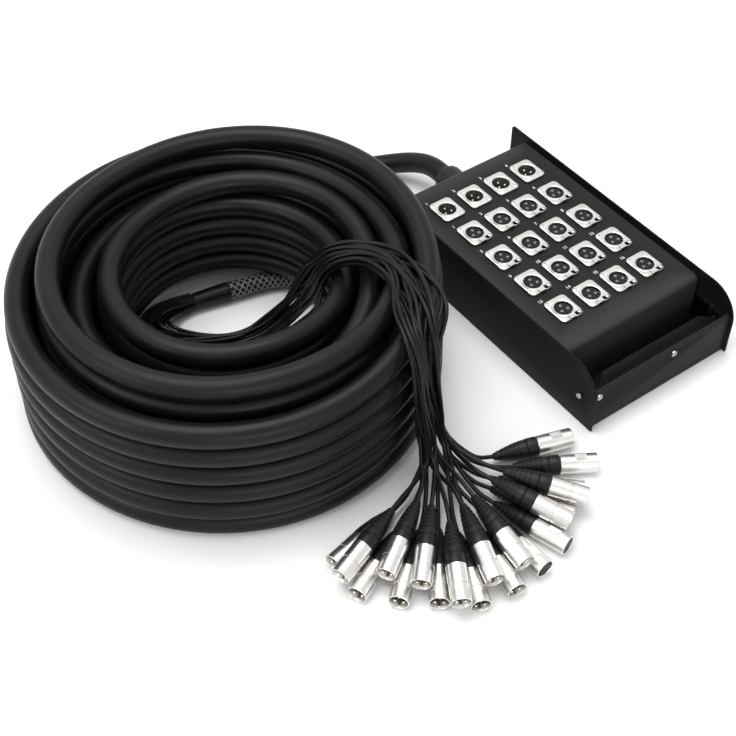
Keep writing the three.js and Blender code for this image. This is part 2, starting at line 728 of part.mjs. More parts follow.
function buildMulticore(glandFaceY) {
  const path = coilPath();
  const gap = leastGap(path, cableDiameter, coilStepsPerTurn / 2);
  console.log(`least gap between the coil's turns: ${gap.toFixed(2)} mm`);
  addPiece('multicore_coil', windTube(path, cableDiameter / 2, coilSides), 'cableRubber');

  const first = new THREE.Vector3(glandX, glandFaceY + seatGap, glandHeight);
  const second = first.clone();
  second.y += cableDiameter / 2;
  const heading = path[0].clone().sub(path[1]).normalize();
  const last = path[0].clone().addScaledVector(heading, seatGap);
  const beforeLast = last.clone().addScaledVector(heading, cableDiameter / 2);
  const chosen = leadRoute.map((row) => new THREE.Vector3(...row));
  const points = [first, second, ...chosen, beforeLast, last];
  const lead = cordGeometry(points, cableDiameter / 2, cordSides, leadSteps);
  addPiece('multicore_lead', lead, 'cableRubber');
  return path;
}

// The sleeve starts where the multicore ends and swings inwards along the coil's inner wall.
function buildSleeve(cablePath) {
  const cableEnd = cablePath[cablePath.length - 1];
  const heading = cableEnd.clone().sub(cablePath[cablePath.length - 2]).normalize();
  const first = cableEnd.clone().addScaledVector(heading, seatGap);
  const second = first.clone().addScaledVector(heading, sleeveRadius / 2);
  const points = [first, second, ...sleeveRoute.map((row) => new THREE.Vector3(...row))];
  addPiece('breakout_sleeve', cordGeometry(points, sleeveRadius, cordSides, sleeveSteps), 'braid');
  return points;
}

function buildTails(sleevePoints) {
  const sleeveEnd = sleevePoints[sleevePoints.length - 1];
  const heading = sleeveEnd.clone().sub(sleevePoints[sleevePoints.length - 2]).normalize();
  const first = sleeveEnd.clone().addScaledVector(heading, seatGap);
  const second = first.clone().addScaledVector(heading, sleeveRadius / 2);
  const chosen = bundleRoute.map((row) => new THREE.Vector3(...row));
  const bundle = cordGeometry([first, second, ...chosen], bundleRadius, bundleSides, bundleSteps);
  const end = chosen[chosen.length - 1];
  const headingOut = end.clone().sub(chosen[chosen.length - 2]).normalize();
  const start = end.clone().addScaledVector(headingOut, -tailStartSink);
  return { solid: toSolid(bundle), start, end, heading: headingOut };
}

const plugLength = plugBarrelLength + plugCollarLength + bootLength;

// A plug's nose point and the turn that lays its length along the fan's ray.
function plugPlace(lie) {
  const turn = lie.degrees * toRadians;
  const ray = new THREE.Vector3(Math.cos(turn), Math.sin(turn), 0);
  const lift = lie.tier ? upperNoseLift : 0;
  const slope = lie.tier ? (upperRearLift - upperNoseLift) / plugBarrelLength : 0;
  const nose = new THREE.Vector3(fanCentreX, fanCentreY, plugRestHeight + lift);
  nose.addScaledVector(ray, lie.reach);
  const back = new THREE.Vector3(-ray.x, -ray.y, slope).normalize();
  const across = new THREE.Vector3(0, 0, 1).cross(back).normalize();
  const top = back.clone().cross(across);
  const frame = new THREE.Matrix4().makeBasis(across, top, back);
  return { nose, back, turn: new THREE.Quaternion().setFromRotationMatrix(frame), frame };
}

// The shell and boot of a plug, nose at zero and length along +Z.
function plugProfile(faceDepth) {
  return [
    new THREE.Vector2(0, faceDepth),
    new THREE.Vector2(plugBore, faceDepth),
    new THREE.Vector2(plugBore, 0),
    new THREE.Vector2(plugRadius, 0),
    new THREE.Vector2(plugRadius, plugBarrelLength),
    new THREE.Vector2(plugCollarRadius, plugBarrelLength + plugCollarLength),
    new THREE.Vector2(bootEndRadius, plugLength),
    new THREE.Vector2(0, plugLength),
  ];
}

function sendPlugSolid() {
  let plug = toSolid(new THREE.LatheGeometry(plugProfile(plugCupDepth), plugSides).rotateX(Math.PI / 2));
  for (const place of contactPlaces(contactCircle)) {
    const length = plugPinLength + cutOverrun;
    const z = plugCupDepth + cutOverrun - length / 2;
    plug = plug.add(toSolid(cylinder(contactRadius, length, 4, new THREE.Vector3(place.x, place.y, z))));
  }
  return plug;
}

// The return plug's face stands in its shell, and a button sits in a pocket on top.
function returnPlugSolid() {
  const profile = plugProfile(returnSlotDepth);
  profile.splice(0, 2,
    new THREE.Vector2(0, seatGap),
    new THREE.Vector2(returnInsertRadius, seatGap),
    new THREE.Vector2(returnInsertRadius, returnSlotDepth),
    new THREE.Vector2(plugBore, returnSlotDepth));
  let plug = toSolid(new THREE.LatheGeometry(profile, plugSides).rotateX(Math.PI / 2));
  const depth = returnButtonPocket + cutOverrun;
  const pocket = new THREE.BoxGeometry(
    returnButtonWidth + 2 * seatGap, depth, returnButtonLength + 2 * seatGap);
  const y = plugRadius + cutOverrun - depth / 2;
  pocket.translate(0, y, returnButtonSetback + returnButtonLength / 2);
  plug = plug.subtract(toSolid(pocket));
  for (const place of contactPlaces(contactCircle)) {
    const z = contactHoleDepth / 2 - cutOverrun;
    const hole = cylinder(contactRadius, contactHoleDepth, contactHoleSides, new THREE.Vector3(place.x, place.y, z));
    plug = plug.subtract(toSolid(hole));
  }
  return plug;
}

function returnButtonGeometry() {
  const height = returnButtonHeight;
  const button = new THREE.BoxGeometry(returnButtonWidth, height, returnButtonLength);
  const y = plugRadius + returnButtonProud - height / 2;
  return button.translate(0, y, returnButtonSetback + returnButtonLength / 2);
}

// One tail from the bundle's end to its plug's boot.
function tailGeometry(bundle, place, sink) {
  const bootEnd = place.nose.clone().addScaledVector(place.back, plugLength - sink);
  const leave = bundle.end.clone().addScaledVector(bundle.heading, tailPull);
  const reach = bundle.end.distanceTo(bootEnd);
  const approach = bootEnd.clone().addScaledVector(place.back, reach / 3);
  const straight = bootEnd.clone().addScaledVector(place.back, tailDiameter);
  leave.z = Math.max(leave.z, tailDiameter);
  const curve = new THREE.CubicBezierCurve3(bundle.start, leave, approach, straight);
  const points = [...curve.getPoints(tailSteps), bootEnd];
  return cordGeometry(points, tailDiameter / 2, tailSides, tailSteps + 1);
}

function buildFanOut(sleevePoints) {
  const bundle = buildTails(sleevePoints);
  const sendPlug = sendPlugSolid();
  const returnPlug = toGeometry(returnPlugSolid());
  const button = returnButtonGeometry();
  let fan = bundle.solid;
  let returns = 0;
  plugLies.forEach((lie, index) => {
    const place = plugPlace(lie);
    const isReturn = returnPlugs.includes(index);
    const sink = isReturn ? -seatGap : cutOverrun;
    fan = fan.add(toSolid(tailGeometry(bundle, place, sink)));
    if (isReturn) {
      returns += 1;
      addPiece(`return_plug_${returns}`, returnPlug, 'nickel', place.nose, place.turn);
      addPiece(`return_plug_latch_${returns}`, button, 'latchMetal', place.nose, place.turn);
      return;
    }
    const matrix = place.frame.clone().setPosition(place.nose);
    fan = fan.add(sendPlug.transform(matrix.elements));
  });
  addPiece('fanout_tails', toGeometry(outerShell(fan)), 'tailRubber');
}

buildBase();
buildLid();
buildCheeks();
buildScrews();
buildSockets();
const glandFaceY = buildGland();
const cablePath = buildMulticore(glandFaceY);
const sleevePoints = buildSleeve(cablePath);
buildFanOut(sleevePoints);

export default part;
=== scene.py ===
"""A stage box snake: a low black steel box with twenty panel connectors, a heavy multicore cable
wound into a tall coil, and twenty thin tails that hang over the coil and end in cable plugs.

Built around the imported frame. Sizes are in millimetres here and become metres with MM.
"""

import math
import random

import bmesh
import bpy
from mathutils import Matrix, Vector, kdtree


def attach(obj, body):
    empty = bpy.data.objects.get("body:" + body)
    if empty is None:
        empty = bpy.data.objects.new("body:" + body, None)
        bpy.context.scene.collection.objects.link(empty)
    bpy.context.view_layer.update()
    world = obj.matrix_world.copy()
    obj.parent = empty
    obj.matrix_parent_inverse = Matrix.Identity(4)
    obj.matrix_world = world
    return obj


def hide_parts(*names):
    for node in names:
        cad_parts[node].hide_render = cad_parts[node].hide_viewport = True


MM = 0.001
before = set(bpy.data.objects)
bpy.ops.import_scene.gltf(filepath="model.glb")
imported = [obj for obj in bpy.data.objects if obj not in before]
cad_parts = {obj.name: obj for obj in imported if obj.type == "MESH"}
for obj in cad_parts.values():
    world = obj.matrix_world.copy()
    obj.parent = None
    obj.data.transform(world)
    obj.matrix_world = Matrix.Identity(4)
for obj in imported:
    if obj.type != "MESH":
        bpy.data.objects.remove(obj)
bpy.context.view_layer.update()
BODY = "snake"

# ---- camera

# Solved from the photo: the place in millimetres and the angles in degrees.
IMAGE_SIDE = 736
FOCAL_PIXELS = 1385.1
SENSOR_WIDTH = 36.0
CAMERA_PLACE = (-757.2, -724.8, 987.8)
CAMERA_YAW = 36.22
CAMERA_LOOK_DOWN = 46.88
CAMERA_ROLL = 0.288
CLIP_NEAR = 0.01        # metres
CLIP_FAR = 50.0


def make_camera():
    data = bpy.data.cameras.new("photo_camera")
    data.sensor_width = SENSOR_WIDTH
    data.lens = FOCAL_PIXELS / IMAGE_SIDE * SENSOR_WIDTH
    data.clip_start = CLIP_NEAR
    data.clip_end = CLIP_FAR
    camera = bpy.data.objects.new("photo_camera", data)
    turn = Matrix.Rotation(math.radians(-CAMERA_YAW), 4, "Z")
    tilt = Matrix.Rotation(math.radians(90 - CAMERA_LOOK_DOWN), 4, "X")
    roll = Matrix.Rotation(math.radians(CAMERA_ROLL), 4, "Z")
    camera.matrix_world = Matrix.Translation(Vector(CAMERA_PLACE) * MM) @ turn @ tilt @ roll
    bpy.context.scene.collection.objects.link(camera)
    bpy.context.scene.camera = camera


# ---- materials

NOISE_LOW = 0.3         # most of a noise texture's values lie between these two
NOISE_HIGH = 0.7
EDGE_FROM = 0.51        # the pointiness at which an edge begins to be lightened, and is fully lightened, as scuffing and as a painted highlight
EDGE_TO = 0.6
BUMP_DISTANCE = 0.0004  # metres
GRAIN_INPUTS = ("Fine Scale", "Broad Scale", "Bump")


def add_node(tree, kind, inputs=None, **settings):
    """A node of a kind, with its settings and the plain values of its inputs."""
    node = tree.nodes.new(kind)
    for key, value in settings.items():
        setattr(node, key, value)
    for key, value in (inputs or {}).items():
        node.inputs[key].default_value = value
    return node


def make_grain_group():
    """Shared surface detail: fine and broad noise, a mask of edges lightened as scuffing and as a
    painted highlight, and a bumped normal.
    """
    group = bpy.data.node_groups.new("surface_grain", "ShaderNodeTree")
    for name in GRAIN_INPUTS:
        group.interface.new_socket(name, in_out="INPUT", socket_type="NodeSocketFloat")
    for name in ("Fine", "Broad", "Edge"):
        group.interface.new_socket(name, in_out="OUTPUT", socket_type="NodeSocketFloat")
    group.interface.new_socket("Normal", in_out="OUTPUT", socket_type="NodeSocketVector")
    enter = add_node(group, "NodeGroupInput")
    leave = add_node(group, "NodeGroupOutput")
    place = add_node(group, "ShaderNodeTexCoord")
    fine = add_node(group, "ShaderNodeTexNoise", {"Detail": 3.0, "Roughness": 0.6})
    broad = add_node(group, "ShaderNodeTexNoise", {"Detail": 4.0, "Roughness": 0.55})
    geometry = add_node(group, "ShaderNodeNewGeometry")
    edge = add_node(group, "ShaderNodeMapRange", {"From Min": EDGE_FROM, "From Max": EDGE_TO})
    bump = add_node(group, "ShaderNodeBump", {"Distance": BUMP_DISTANCE})
    join = group.links.new
    for texture, scale in ((fine, "Fine Scale"), (broad, "Broad Scale")):
        join(place.outputs["Object"], texture.inputs["Vector"])
        join(enter.outputs[scale], texture.inputs["Scale"])
    join(geometry.outputs["Pointiness"], edge.inputs["Value"])
    join(fine.outputs["Fac"], bump.inputs["Height"])
    join(enter.outputs["Bump"], bump.inputs["Strength"])
    join(fine.outputs["Fac"], leave.inputs["Fine"])
    join(broad.outputs["Fac"], leave.inputs["Broad"])
    join(edge.outputs["Result"], leave.inputs["Edge"])
    join(bump.outputs["Normal"], leave.inputs["Normal"])
    return group


GRAIN = make_grain_group()


def noise_to(tree, low, high):
    """A node that spreads a noise texture's values over a range."""
    return add_node(
        tree,
        "ShaderNodeMapRange",
        {"From Min": NOISE_LOW, "From Max": NOISE_HIGH, "To Min": low, "To Max": high},
    )


def make_material(
    name, dark, light, roughness, metallic=0.0, *, grain, edge_wear_and_highlight=None, edge_wear_and_highlight_share=0.5, **shader
):
    """Colour and roughness wander between two values, and edges may be lightened to a third colour,
    partly as scuffing and partly as a painted highlight.

    The grain is the scale of the fine noise, the scale of the broad one and the bump's strength.
    """
    material = bpy.data.materials.new(name)
    material.use_nodes = True
    tree = material.node_tree
    surface = tree.nodes["Principled BSDF"]
    surface.inputs["Metallic"].default_value = metallic
    for key, value in shader.items():
        surface.inputs[key.replace("_", " ")].default_value = value
    texture = add_node(tree, "ShaderNodeGroup", dict(zip(GRAIN_INPUTS, grain)), node_tree=GRAIN)
    colour = add_node(tree, "ShaderNodeMix", data_type="RGBA")
    colour.inputs["A"].default_value = (*dark, 1.0)
    colour.inputs["B"].default_value = (*light, 1.0)
    spread = noise_to(tree, 0.0, 1.0)
    rough = noise_to(tree, *roughness)
    join = tree.links.new
    join(texture.outputs["Broad"], spread.inputs["Value"])
    join(spread.outputs["Result"], colour.inputs["Factor"])
    join(texture.outputs["Broad"], rough.inputs["Value"])
    join(rough.outputs["Result"], surface.inputs["Roughness"])
    join(texture.outputs["Normal"], surface.inputs["Normal"])
    out = colour.outputs["Result"]
    # Convex edges lighten towards the third colour: partly scuffing, partly a painted highlight
    # along the edges.
    if edge_wear_and_highlight:
        wear_and_highlight_mix = add_node(tree, "ShaderNodeMix", data_type="RGBA")
        wear_and_highlight_mix.inputs["B"].default_value = (*edge_wear_and_highlight, 1.0)
        amount = add_node(tree, "ShaderNodeMath", {1: edge_wear_and_highlight_share}, operation="MULTIPLY")
        join(texture.outputs["Edge"], amount.inputs[0])
        join(amount.outputs["Value"], wear_and_highlight_mix.inputs["Factor"])
        join(out, wear_and_highlight_mix.inputs["A"])
        out = wear_and_highlight_mix.outputs["Result"]
    join(out, surface.inputs["Base Color"])
    return material


def grey(value):
    return (value, value, value)


# Each material's third colour below lightens its convex edges: partly scuffing, partly a painted
# highlight.
POWDER = make_material(
    "black_powder_coat", grey(0.0012), grey(0.0026), (0.34, 0.46), grain=(1500.0, 18.0, 0.3),
    edge_wear_and_highlight=grey(0.05), edge_wear_and_highlight_share=0.4, Specular_IOR_Level=0.05,
)
PANEL = make_material(
    "panel_powder_coat", (0.0062, 0.006, 0.0058), (0.0092, 0.009, 0.0086), (0.42, 0.52),
    grain=(1300.0, 20.0, 0.3), edge_wear_and_highlight=grey(0.07), edge_wear_and_highlight_share=0.4, Specular_IOR_Level=0.2,
)
NICKEL = make_material(
    "satin_nickel", (0.63, 0.612, 0.58), (0.74, 0.722, 0.69), (0.27, 0.38), 1.0,
    grain=(900.0, 60.0, 0.03), edge_wear_and_highlight=grey(0.85),
)
STEEL = make_material(
    "stamped_steel", grey(0.42), grey(0.56), (0.3, 0.42), 1.0, grain=(900.0, 90.0, 0.05),
    edge_wear_and_highlight=grey(0.8),
)
CONTACT = make_material(
    "contact_silver", (0.75, 0.73, 0.68), (0.85, 0.83, 0.78), (0.12, 0.22), 1.0,
    grain=(700.0, 200.0, 0.02),
)
INSERT = make_material(
    "black_insert_plastic", grey(0.004), grey(0.008), (0.35, 0.45), grain=(900.0, 80.0, 0.06),
    edge_wear_and_highlight=grey(0.03), Specular_IOR_Level=0.16,
)
JACKET = make_material(
    "multicore_jacket", (0.0034, 0.0033, 0.0032), (0.0066, 0.0063, 0.006), (0.33, 0.47),
    grain=(700.0, 22.0, 0.14), Specular_IOR_Level=0.19,
)
TAIL = make_material(
    "tail_jacket", grey(0.003), grey(0.006), (0.26, 0.38), grain=(900.0, 30.0, 0.1),
    Specular_IOR_Level=0.2,
)
# The strands of the black braid are light grey as a painted highlight: the bright lines along the
# weave.
BRAID_PAINTED_HIGHLIGHT = make_material(
    "braided_sleeving_painted_highlight", grey(0.1), grey(0.22), (0.3, 0.42), grain=(1500.0, 150.0, 0.15),
    Specular_IOR_Level=0.4,
)
BOOT = make_material(
    "boot_rubber", grey(0.0032), grey(0.006), (0.36, 0.48), grain=(900.0, 60.0, 0.08),
    edge_wear_and_highlight=grey(0.03), Specular_IOR_Level=0.2,
)
SCREW = make_material(
    "darkened_screw", grey(0.16), grey(0.26), (0.3, 0.42), 1.0, grain=(900.0, 90.0, 0.05),
    edge_wear_and_highlight=grey(0.55),
)
GLAND = make_material(
    "gland_nylon", grey(0.004), grey(0.008), (0.35, 0.5), grain=(800.0, 50.0, 0.1), edge_wear_and_highlight=grey(0.04),
    Specular_IOR_Level=0.2,
)
INK = make_material(
    "white_print", grey(0.6), grey(0.78), (0.5, 0.6), grain=(1500.0, 300.0, 0.1),
)

# ---- mesh helpers

UP = Vector((0, 0, 1))
SMOOTH_DEGREES = 35.0   # edges that turn more than this stay sharp
MERGE_DISTANCE = 1e-6   # metres


def link(piece):
    """Puts a visible piece into the scene, on the body that carries all but the latches."""
    bpy.context.scene.collection.objects.link(piece)
    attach(piece, BODY)
    return piece


def mesh_from(bm, name, materials, smooth_angle=SMOOTH_DEGREES):
    """A named mesh of a bmesh, smooth but for its sharp edges."""
    bmesh.ops.recalc_face_normals(bm, faces=bm.faces)
    limit = math.radians(smooth_angle)
    for face in bm.faces:
        face.smooth = True
    for edge in bm.edges:
        if len(edge.link_faces) == 2 and edge.calc_face_angle(0.0) > limit:
            edge.smooth = False
    mesh = bpy.data.meshes.new(name)
    bm.to_mesh(mesh)
    bm.free()
    for material in materials:
        mesh.materials.append(material)
    return mesh


def shift(x, y, z):
    """The matrix that moves a shape by millimetres."""
    return Matrix.Translation(Vector((x, y, z)) * MM)


def lathe(bm, profile, segments, slot, place=Matrix()):
    """Turns a closed loop of (radius, height) points, in millimetres, about the Z axis."""
    rings = []
    for radius, height in profile:
        if radius <= 0:
            rings.append([bm.verts.new(place @ (Vector((0, 0, height)) * MM))])
            continue
        ring = []
        for step in range(segments):
            turn = math.tau * step / segments
            point = Vector((radius * math.cos(turn), radius * math.sin(turn), height)) * MM
            ring.append(bm.verts.new(place @ point))
        rings.append(ring)
    pairs = list(zip(rings, rings[1:]))
    if len(rings[0]) > 1 and len(rings[-1]) > 1:
        pairs.append((rings[-1], rings[0]))
    for low, high in pairs:
        for step in range(segments):
            after = (step + 1) % segments
            corners = []
            for ring, index in ((low, step), (low, after), (high, after), (high, step)):
                vertex = ring[index % len(ring)]
                if vertex not in corners:
                    corners.append(vertex)
            if len(corners) > 2:
                bm.faces.new(corners).material_index = slot


def bmesh_of_curve(data):
    """The shape of a curve or a text as a bmesh."""
    scratch = bpy.data.objects.new("scratch", data)
    bpy.context.scene.collection.objects.link(scratch)
    depsgraph = bpy.context.evaluated_depsgraph_get()
    bm = bmesh.new()
    bm.from_mesh(scratch.evaluated_get(depsgraph).to_mesh())
    bpy.data.objects.remove(scratch)
    return bm


def plate_bmesh(outlines, thickness, bevel):
    """A flat plate on Z = 0 with rounded edges: the first outline is its rim, the others holes."""
    data = bpy.data.curves.new("plate_curve", "CURVE")
    data.dimensions = "2D"
    data.fill_mode = "BOTH"
    data.extrude = (thickness / 2 - bevel) * MM
    data.bevel_depth = bevel * MM
    data.bevel_resolution = 1
    data.offset = -bevel * MM
    for outline in outlines:
        spline = data.splines.new("POLY")
        spline.points.add(len(outline) - 1)
        for point, (x, y) in zip(spline.points, outline):
            point.co = (x * MM, y * MM, 0, 1)
        spline.use_cyclic_u = True
    bm = bmesh_of_curve(data)
    bmesh.ops.remove_doubles(bm, verts=bm.verts, dist=MERGE_DISTANCE)
    bmesh.ops.transform(bm, matrix=shift(0, 0, thickness / 2), verts=bm.verts)
    return bm


def circle_points(radius, count):
    turns = [math.tau * step / count for step in range(count)]
    return [(radius * math.cos(turn), radius * math.sin(turn)) for turn in turns]


def add_block(bm, size, middle):
    """Adds a box, its size and middle in millimetres."""
    corners = bmesh.ops.create_cube(bm, size=1.0)["verts"]
    stretch = Matrix.Diagonal((*(side * MM for side in size), 1))
    bmesh.ops.transform(bm, matrix=shift(*middle) @ stretch, verts=corners)


# ---- the cords' routes

CORD_RESOLUTION = 5         # the steps of a cord's curve between two of its points

CABLE_DIAMETER = 22.2
CABLE_SIDES = 7             # Blender's bevel resolution of the cable
COIL_CENTRE = (-317.0, 96.4)
ROW_PITCH = 23.5
COLUMN_PITCH = 27.0
OUTER_RADIUS = 192.5
CLIMBS = (6, 6, 5, 5)       # rows that each column of the coil climbs or sinks, outermost first
START_DEGREES = 88.0
CLIMB_START = 248.0         # each turn climbs between these two angles
CLIMB_END = 368.0
REVERSE_DEGREES = 100.0     # the arc in which the cable changes its column
DRIFT_DEGREES = 54.0        # the loops lie off centre along this direction
COLUMN_DRIFT = 3.0          # how far each column's centre lies from the one outside it
ROW_DRIFTS = (5, 0, 0, 0, 0, -4, -8)    # how far each row lies off centre, lowest first
ROW_SPREADS = (2, 0, 0, 0, 0, -4, -8)   # how much larger each row's radius is
COIL_OVAL = 2.5             # how much longer the loops are along that direction
COIL_STEP_DEGREES = 15.0    # from one point of the cable's curve to the next
LAST_DEGREES = (sum(CLIMBS) - 1) * 360 + CLIMB_END

GLAND_MOUTH = (4.0, 177.2, 36.0)
LEAD_SPACING = 15.0
LEAD_ROUTE = [
    (3.5, 201, 34.4), (1, 212, 31.4), (-3, 223, 27.6), (-11, 236, 22.4), (-25, 251, 16.2),
    (-44, 264, 12.4), (-68, 275, 11.5), (-98, 284, 11.3), (-132, 290, 11.3), (-168, 294, 11.3),
    (-204, 296, 11.3), (-240, 298, 11.3),
]
SLEEVE_ROUTE = [
    (-206, 159, 11.6), (-221, 169.5, 11.8), (-241, 176, 12), (-263, 181, 12), (-285, 186, 12),
    (-307, 190, 12),
]
BUNDLE_ROUTE = [
    (-329, 191, 15), (-348, 183, 23), (-364, 171, 31), (-372, 155, 33), (-366, 140, 28),
    (-350, 124, 21), (-330, 110, 16), (-307, 98, 15), (-284, 92, 19), (-264, 90, 30),
    (-248, 86, 46), (-240, 80, 66), (-237, 72, 88), (-237, 64, 110), (-234, 57, 130),
    (-225, 46, 144), (-212, 33, 152), (-202, 16, 157), (-196, -7, 161.5), (-196, -32, 164),
    (-201, -56, 164), (-211, -78, 160), (-222, -92, 145), (-229, -98, 124), (-231, -101, 98),
    (-233, -104, 72), (-235, -108, 48),
]


def clamp(value, low=0.0, high=1.0):
    return min(max(value, low), high)


def ease(value, low, high):
    """From 0 to 1 as a value goes from low to high, slowly at both ends."""
    share = clamp((value - low) / (high - low))
    return share * share * (3 - 2 * share)


def between_places(values, place):
    """The value of a list between two of its places."""
    low = min(int(place), len(values) - 2)
    return values[low] + (values[low + 1] - values[low]) * (place - low)


def coil_seat(degrees):
    """The row and the column that the cable has come to, with fractions where it moves over."""
    turn = clamp(math.floor((degrees - CLIMB_START) / 360), 0, sum(CLIMBS) - 1)
    climbed = turn + ease(degrees, turn * 360 + CLIMB_START, turn * 360 + CLIMB_END)
    row = column = 0.0
    before = 0
    for index, climbs in enumerate(CLIMBS):
        done = clamp(climbed - before, 0, climbs)
        row += done if index % 2 == 0 else -done
        before += climbs
        change = (before - 1) * 360 + CLIMB_END
        if index < len(CLIMBS) - 1:
            column += ease(degrees, change, change + REVERSE_DEGREES)
    return row, column


def coil_point(degrees):
    """A point of the coil's centreline, at an angle that counts on from turn to turn."""
    row, column = coil_seat(degrees)
    lean = math.radians(DRIFT_DEGREES)
    angle = math.radians(degrees)
    drift = column * COLUMN_DRIFT + between_places(ROW_DRIFTS, row)
    oval = COIL_OVAL * math.cos(2 * (angle - lean))
    radius = OUTER_RADIUS - column * COLUMN_PITCH + between_places(ROW_SPREADS, row) + oval
    return Vector((
        COIL_CENTRE[0] + drift * math.cos(lean) + radius * math.cos(angle),
        COIL_CENTRE[1] + drift * math.sin(lean) + radius * math.sin(angle),
        CABLE_DIAMETER / 2 + row * ROW_PITCH,
    ))


def coil_route():
    """The coil's turns, with half a diameter of straight cable at both ends."""
    span = LAST_DEGREES - START_DEGREES
    steps = round(span / COIL_STEP_DEGREES)
    points = [coil_point(START_DEGREES + span * step / steps) for step in range(steps + 1)]
    first = points[0] + (points[0] - points[1]).normalized() * CABLE_DIAMETER / 2
    last = points[-1] + (points[-1] - points[-2]).normalized() * CABLE_DIAMETER / 2
    return [first, *points, last]


def blend(p, q, start, end, t):
    """The point between p and q for a t between start and end."""
    span = end - start
    return p * ((end - t) / span) + q * ((t - start) / span)


def smooth_route(points, spacing):
    """A centripetal spline through points, cut into even steps."""
    points = [Vector(p) for p in points]
    padded = [2 * points[0] - points[1], *points, 2 * points[-1] - points[-2]]
    fine = []
    for a, b, c, d in zip(padded, padded[1:], padded[2:], padded[3:]):
        spans = ((a, b), (b, c), (c, d))
        knots = [0.0]
        for p, q in spans:
            knots.append(knots[-1] + max((q - p).length, 1e-6) ** 0.5)
        pieces = max(2, int((c - b).length / spacing * 2))
        for step in range(pieces):
            t = knots[1] + (knots[2] - knots[1]) * step / pieces
            low = [blend(p, q, knots[i], knots[i + 1], t) for i, (p, q) in enumerate(spans)]
            mid = [blend(low[i], low[i + 1], knots[i], knots[i + 2], t) for i in range(2)]
            fine.append(blend(*mid, knots[1], knots[2], t))
    fine.append(points[-1])
    return even_steps(fine, spacing)


def even_steps(points, spacing):
    """Points at equal steps along a broken line, as near to the spacing as fits."""
    total = route_length(points)
    count = max(2, round(total / spacing))
    result = [points[0]]
    travelled = 0.0
    goal = total / count
    for p, q in zip(points, points[1:]):
        span = (q - p).length
        while span > 0 and travelled + span >= goal - 1e-9 and len(result) < count:
            result.append(p.lerp(q, (goal - travelled) / span))
            goal += total / count
        travelled += span
    result.append(points[-1])
    return result


def route_length(points):
    return sum((q - p).length for p, q in zip(points, points[1:]))


def cord_curve(name, points, diameter, material, sides):
    """A round cord on one smooth curve through points that are given in millimetres."""
    data = bpy.data.curves.new(name, "CURVE")
    data.dimensions = "3D"
    data.resolution_u = CORD_RESOLUTION
    data.bevel_depth = diameter / 2 * MM
    data.bevel_resolution = sides
    data.use_fill_caps = True
    spline = data.splines.new("BEZIER")
    spline.bezier_points.add(len(points) - 1)
    for index, (target, point) in enumerate(zip(spline.bezier_points, points)):
        before = points[max(index - 1, 0)]
        after = points[min(index + 1, len(points) - 1)]
        heading = (after - before).normalized()
        target.co = point * MM
        target.handle_left_type = target.handle_right_type = "FREE"
        target.handle_left = (point - heading * (point - before).length / 3) * MM
        target.handle_right = (point + heading * (after - point).length / 3) * MM
    data.materials.append(material)
    return link(bpy.data.objects.new(name, data))


# ---- the multicore cable


def make_multicore():
    """One cable from the gland's mouth round all the coil's turns to the sleeve."""
    coil = coil_route()
    start = Vector(GLAND_MOUTH)
    lead = [start, start + Vector((0, CABLE_DIAMETER / 2, 0)), *map(Vector, LEAD_ROUTE)]
    route = smooth_route([*lead, coil[0]], LEAD_SPACING)[:-1] + coil
    cable = cord_curve("multicore_cable", route, CABLE_DIAMETER, JACKET, CABLE_SIDES)
    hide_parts("multicore_lead", "multicore_coil")
    return cable, route


# ---- the breakout sleeve

SLEEVE_RADIUS = 10.0
SLEEVE_GAP = 0.3            # between the cable's end and the sleeve
SLEEVE_LEAD = 5.0           # the sleeve's first stretch goes straight on from the cable
SLEEVE_SPACING = 2.0
CORE_INSET = 1.6            # how far the bundle inside the braid lies under the sleeve's surface
CORE_SIDES = 24
BRAID_STRANDS = 7           # wound each way
BRAID_TURN_LENGTH = 46.0
BRAID_INSET = 0.7           # the ribbons' mean depth under the sleeve's surface
BRAID_WEAVE = 0.3           # how far they rise and sink as they cross
RIBBON_WIDTH = 1.3
RIBBON_THICKNESS = 0.4
BAND_SHARE = 0.72           # the braid ends here, and a smooth shrunk band holds the tails
BAND_INSET = 0.3
BAND_TAPER = 1.5
BAND_LIP_SHARE = 0.03       # of the band's length, at both ends
BAND_FRONT_LIP = 0.8
BAND_REAR_LIP = 1.2
BAND_SIDES = 32


def frames_along(points):
    """At each point its tangent and two directions square to it, without twist."""
    frames = []
    side = None
    for index, point in enumerate(points):
        before = points[max(index - 1, 0)]
        after = points[min(index + 1, len(points) - 1)]
        tangent = (after - before).normalized()
        if side is None:
            side = tangent.cross(UP).normalized()
        side = (side - tangent * side.dot(tangent)).normalized()
        frames.append((point, tangent, side, side.cross(tangent).normalized()))
    return frames


def sleeve_route(cable_route):
    """The sleeve's centreline, straight on from the cable's end."""
    end = cable_route[-1]
    heading = (end - cable_route[-2]).normalized()
    first = end + heading * SLEEVE_GAP
    second = first + heading * SLEEVE_LEAD
    return smooth_route([first, second, *map(Vector, SLEEVE_ROUTE)], SLEEVE_SPACING)


def join_rings(bm, low, high, slot):
    """The faces between two rings that have the same number of points."""
    for step in range(len(low)):
        after = (step + 1) % len(low)
        corners = (low[step], low[after], high[after], high[step])
        bm.faces.new(corners).material_index = slot


def tube_mesh(bm, frames, radius_at, sides, slot):
    """A closed tube along frames, whose radius depends on the share of its length."""
    rings = []
    for index, (point, _, side, up) in enumerate(frames):
        radius = radius_at(index / (len(frames) - 1))
        ring = []
        for step in range(sides):
            turn = math.tau * step / sides
            spoke = side * math.cos(turn) + up * math.sin(turn)
            ring.append(bm.verts.new((point + spoke * radius) * MM))
        rings.append(ring)
    for low, high in zip(rings, rings[1:]):
        join_rings(bm, low, high, slot)
    for ring in (rings[0][::-1], rings[-1]):
        bm.faces.new(ring).material_index = slot


